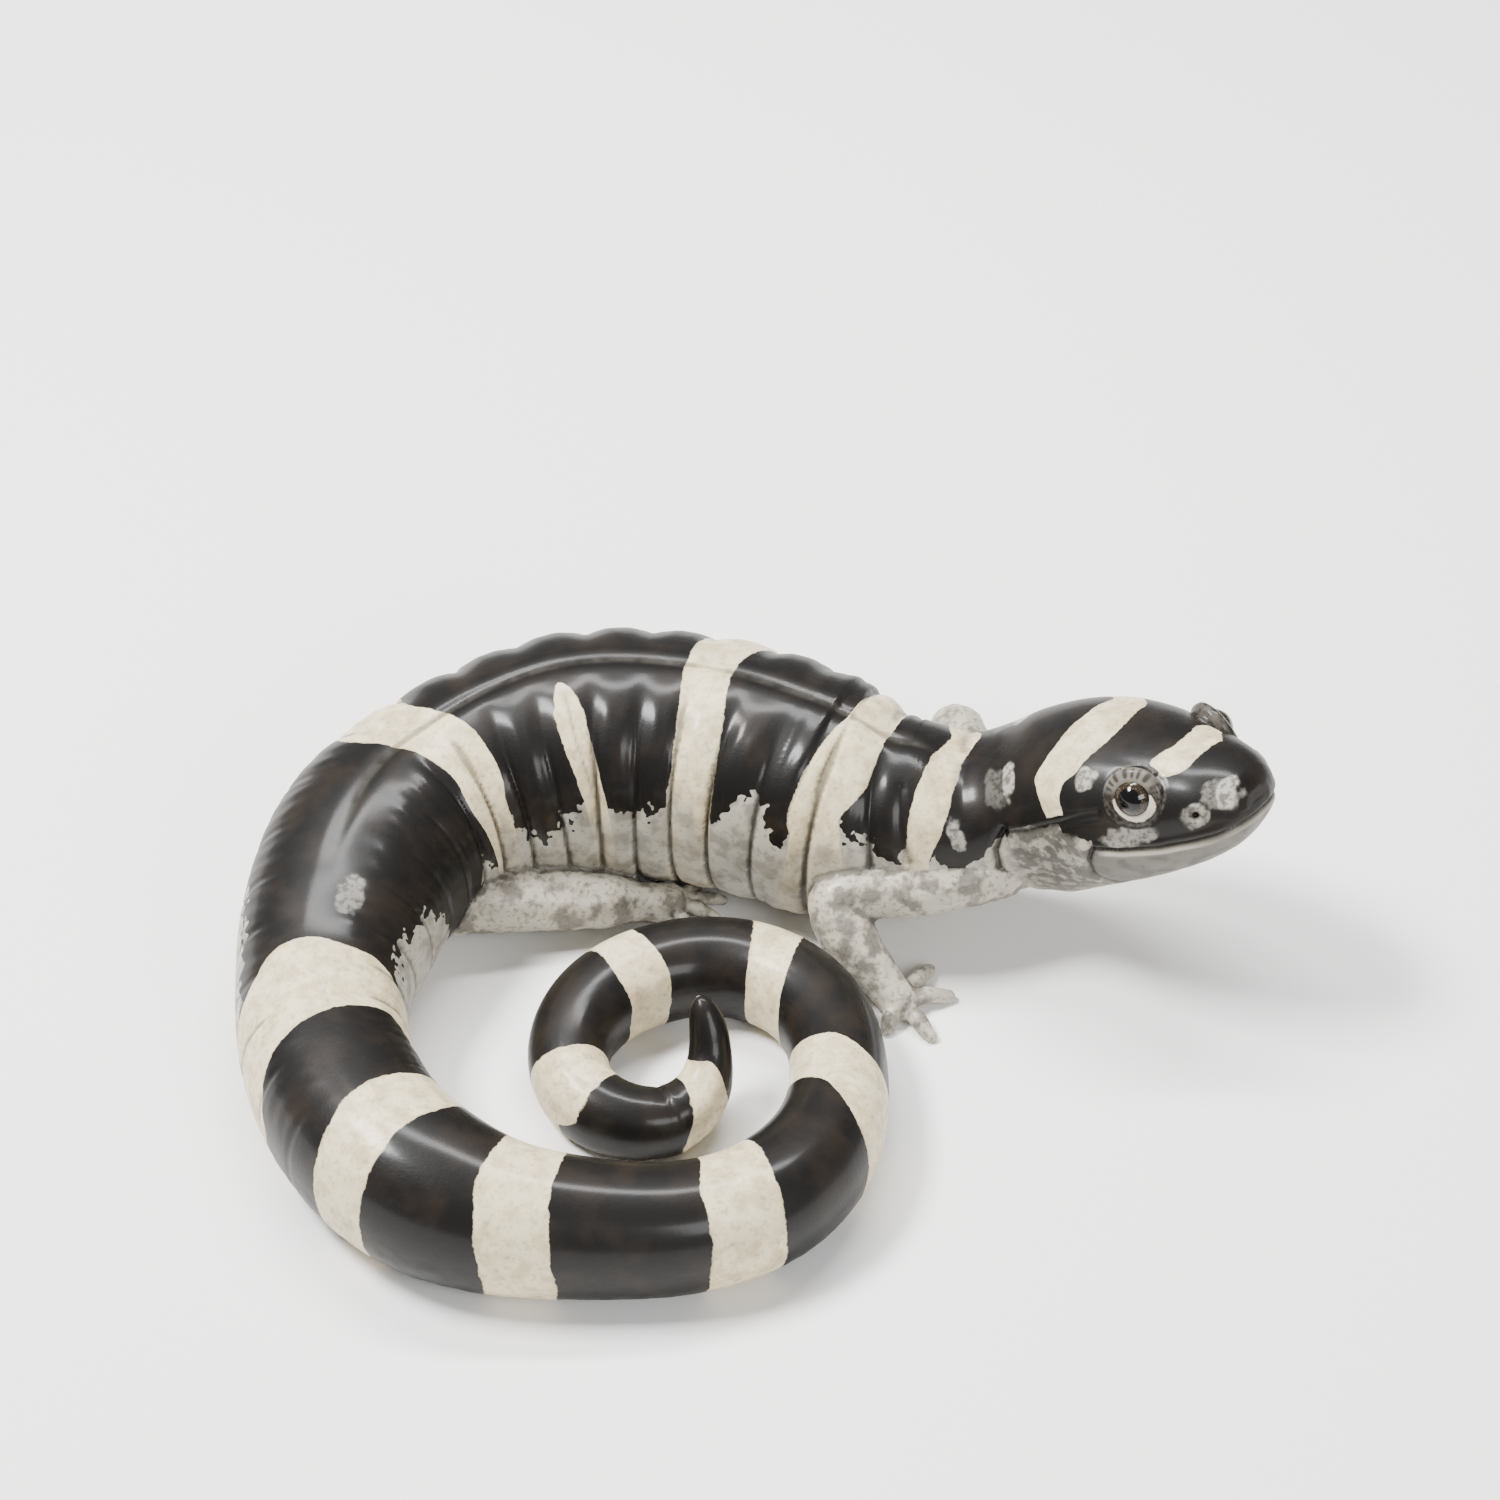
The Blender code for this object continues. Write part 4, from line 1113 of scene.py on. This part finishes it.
skin = dress("skin", skinMesh, makeSkinFinish())
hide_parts(*[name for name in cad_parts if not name.startswith("eye")])
print("skin placed")

# Eyeballs, finer than the solids
ballForm = {
    "rings": 64, "sides": 96, "cornea": 0.06, "corneaWide": 30, "pupilEdge": (32.0, 34.0),
    "irisEdge": (48.0, 55.0), "fleckNoise": (9.0, 3), "fleckEnds": (0.5, 0.66),
}
eyeColors = {
    "pupil": (0.002, 0.002, 0.002), "iris": (0.014, 0.010, 0.007), "fleck": (0.085, 0.06, 0.03),
    "rim": (0.006, 0.005, 0.004),
}
eyeShine = {
    "Roughness": 0.12, "Specular IOR Level": 0.25,
    "Coat Weight": 0.5, "Coat IOR": 1.35, "Coat Roughness": 0.02,
}


def makeEyeball(name, side):
    centre, look, level, over = eyeFrame(side)
    polar = np.linspace(0.02, math.pi - 0.02, ballForm["rings"])
    radii = eye["radius"] + ballForm["cornea"] * hump(np.degrees(polar), ballForm["corneaWide"])
    mesh = meshFrom(name, *ballShell(centre, (level, over, look), polar, radii, ballForm["sides"]))
    out = unit(pointsOf(mesh) - centre)
    addMarks(mesh, {"tilt": np.degrees(np.arccos(np.clip((out * look).sum(1), -1, 1)))})
    return mesh


def makeEyeFinish():
    finish = Finish("wetEye", eyeColors)
    flecks = finish.noise(finish.millimetres(), *ballForm["fleckNoise"])
    iris = finish.mix(finish.between(flecks, *ballForm["fleckEnds"]), "iris", "fleck")
    tilt = finish.value("tilt")
    color = finish.mix(finish.between(tilt, *ballForm["pupilEdge"]), "pupil", iris)
    color = finish.mix(finish.between(tilt, *ballForm["irisEdge"]), color, "rim")
    finish.link(color, finish.shader.inputs["Base Color"])
    finish.set(eyeShine)
    return finish.material


eyeMaterial = makeEyeFinish()
for name, eyeSide in (("eye_right", 1), ("eye_left", -1)):
    eyeball = dress(name + "_wet", makeEyeball(name, eyeSide), eyeMaterial)
    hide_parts(name)
print("eyes placed")

# Floor, light and camera
stage = {
    "floor": (0.86, 0.855, 0.84), "floorRoughness": 0.85, "halfWidth": 1.5,
    "world": (0.95, 0.97, 1.0), "worldStrength": 0.36,
}
studioLamps = (
    {"name": "stripBack", "at": (0.0, 0.16, 0.40), "size": (0.34, 0.05), "power": 2.8},
    {"name": "softKey", "at": (-0.24, 0.02, 0.40), "size": (0.14, 0.10), "power": 5.2},
    {"name": "softFront", "at": (0.30, -0.44, 0.36), "size": (0.30, 0.24), "power": 3.2},
)
viewForm = {"place": (-0.00021, -0.21180, 0.20840), "tilt": 49.2814, "lens": 90.0, "sensor": 36.0}


def makeFloor():
    mesh = bpy.data.meshes.new("floor")
    half = stage["halfWidth"]
    corners = [(-half, -half, 0), (half, -half, 0), (half, half, 0), (-half, half, 0)]
    mesh.from_pydata(corners, [], [(0, 1, 2, 3)])
    floor = newObject("floor", mesh)
    finish = Finish("paleFloor")
    finish.set({"Base Color": (*stage["floor"], 1.0), "Roughness": stage["floorRoughness"]})
    mesh.materials.append(finish.material)


def lightStage():
    world = bpy.data.worlds.new("paleStudio")
    world.use_nodes = True
    background = world.node_tree.nodes["Background"]
    background.inputs["Color"].default_value = (*stage["world"], 1.0)
    background.inputs["Strength"].default_value = stage["worldStrength"]
    bpy.context.scene.world = world
    for lamp in studioLamps:
        data = bpy.data.lights.new(lamp["name"], "AREA")
        data.shape = "RECTANGLE"
        data.size = lamp["size"][0]
        data.size_y = lamp["size"][1]
        data.energy = lamp["power"]
        obj = newObject(lamp["name"], data)
        obj.location = lamp["at"]
        aim = -obj.location
        obj.rotation_euler = aim.to_track_quat("-Z", "Y").to_euler()


def placeCamera():
    camera = bpy.data.cameras.new("photoView")
    camera.lens = viewForm["lens"]
    camera.sensor_width = viewForm["sensor"]
    camera.clip_start = 0.01
    camera.clip_end = 10.0
    view = newObject("photoView", camera)
    view.location = viewForm["place"]
    view.rotation_euler = (math.radians(viewForm["tilt"]), 0.0, 0.0)
    bpy.context.scene.camera = view


makeFloor()
lightStage()
placeCamera()
print("stage set; skin has", len(skinMesh.polygons), "faces")
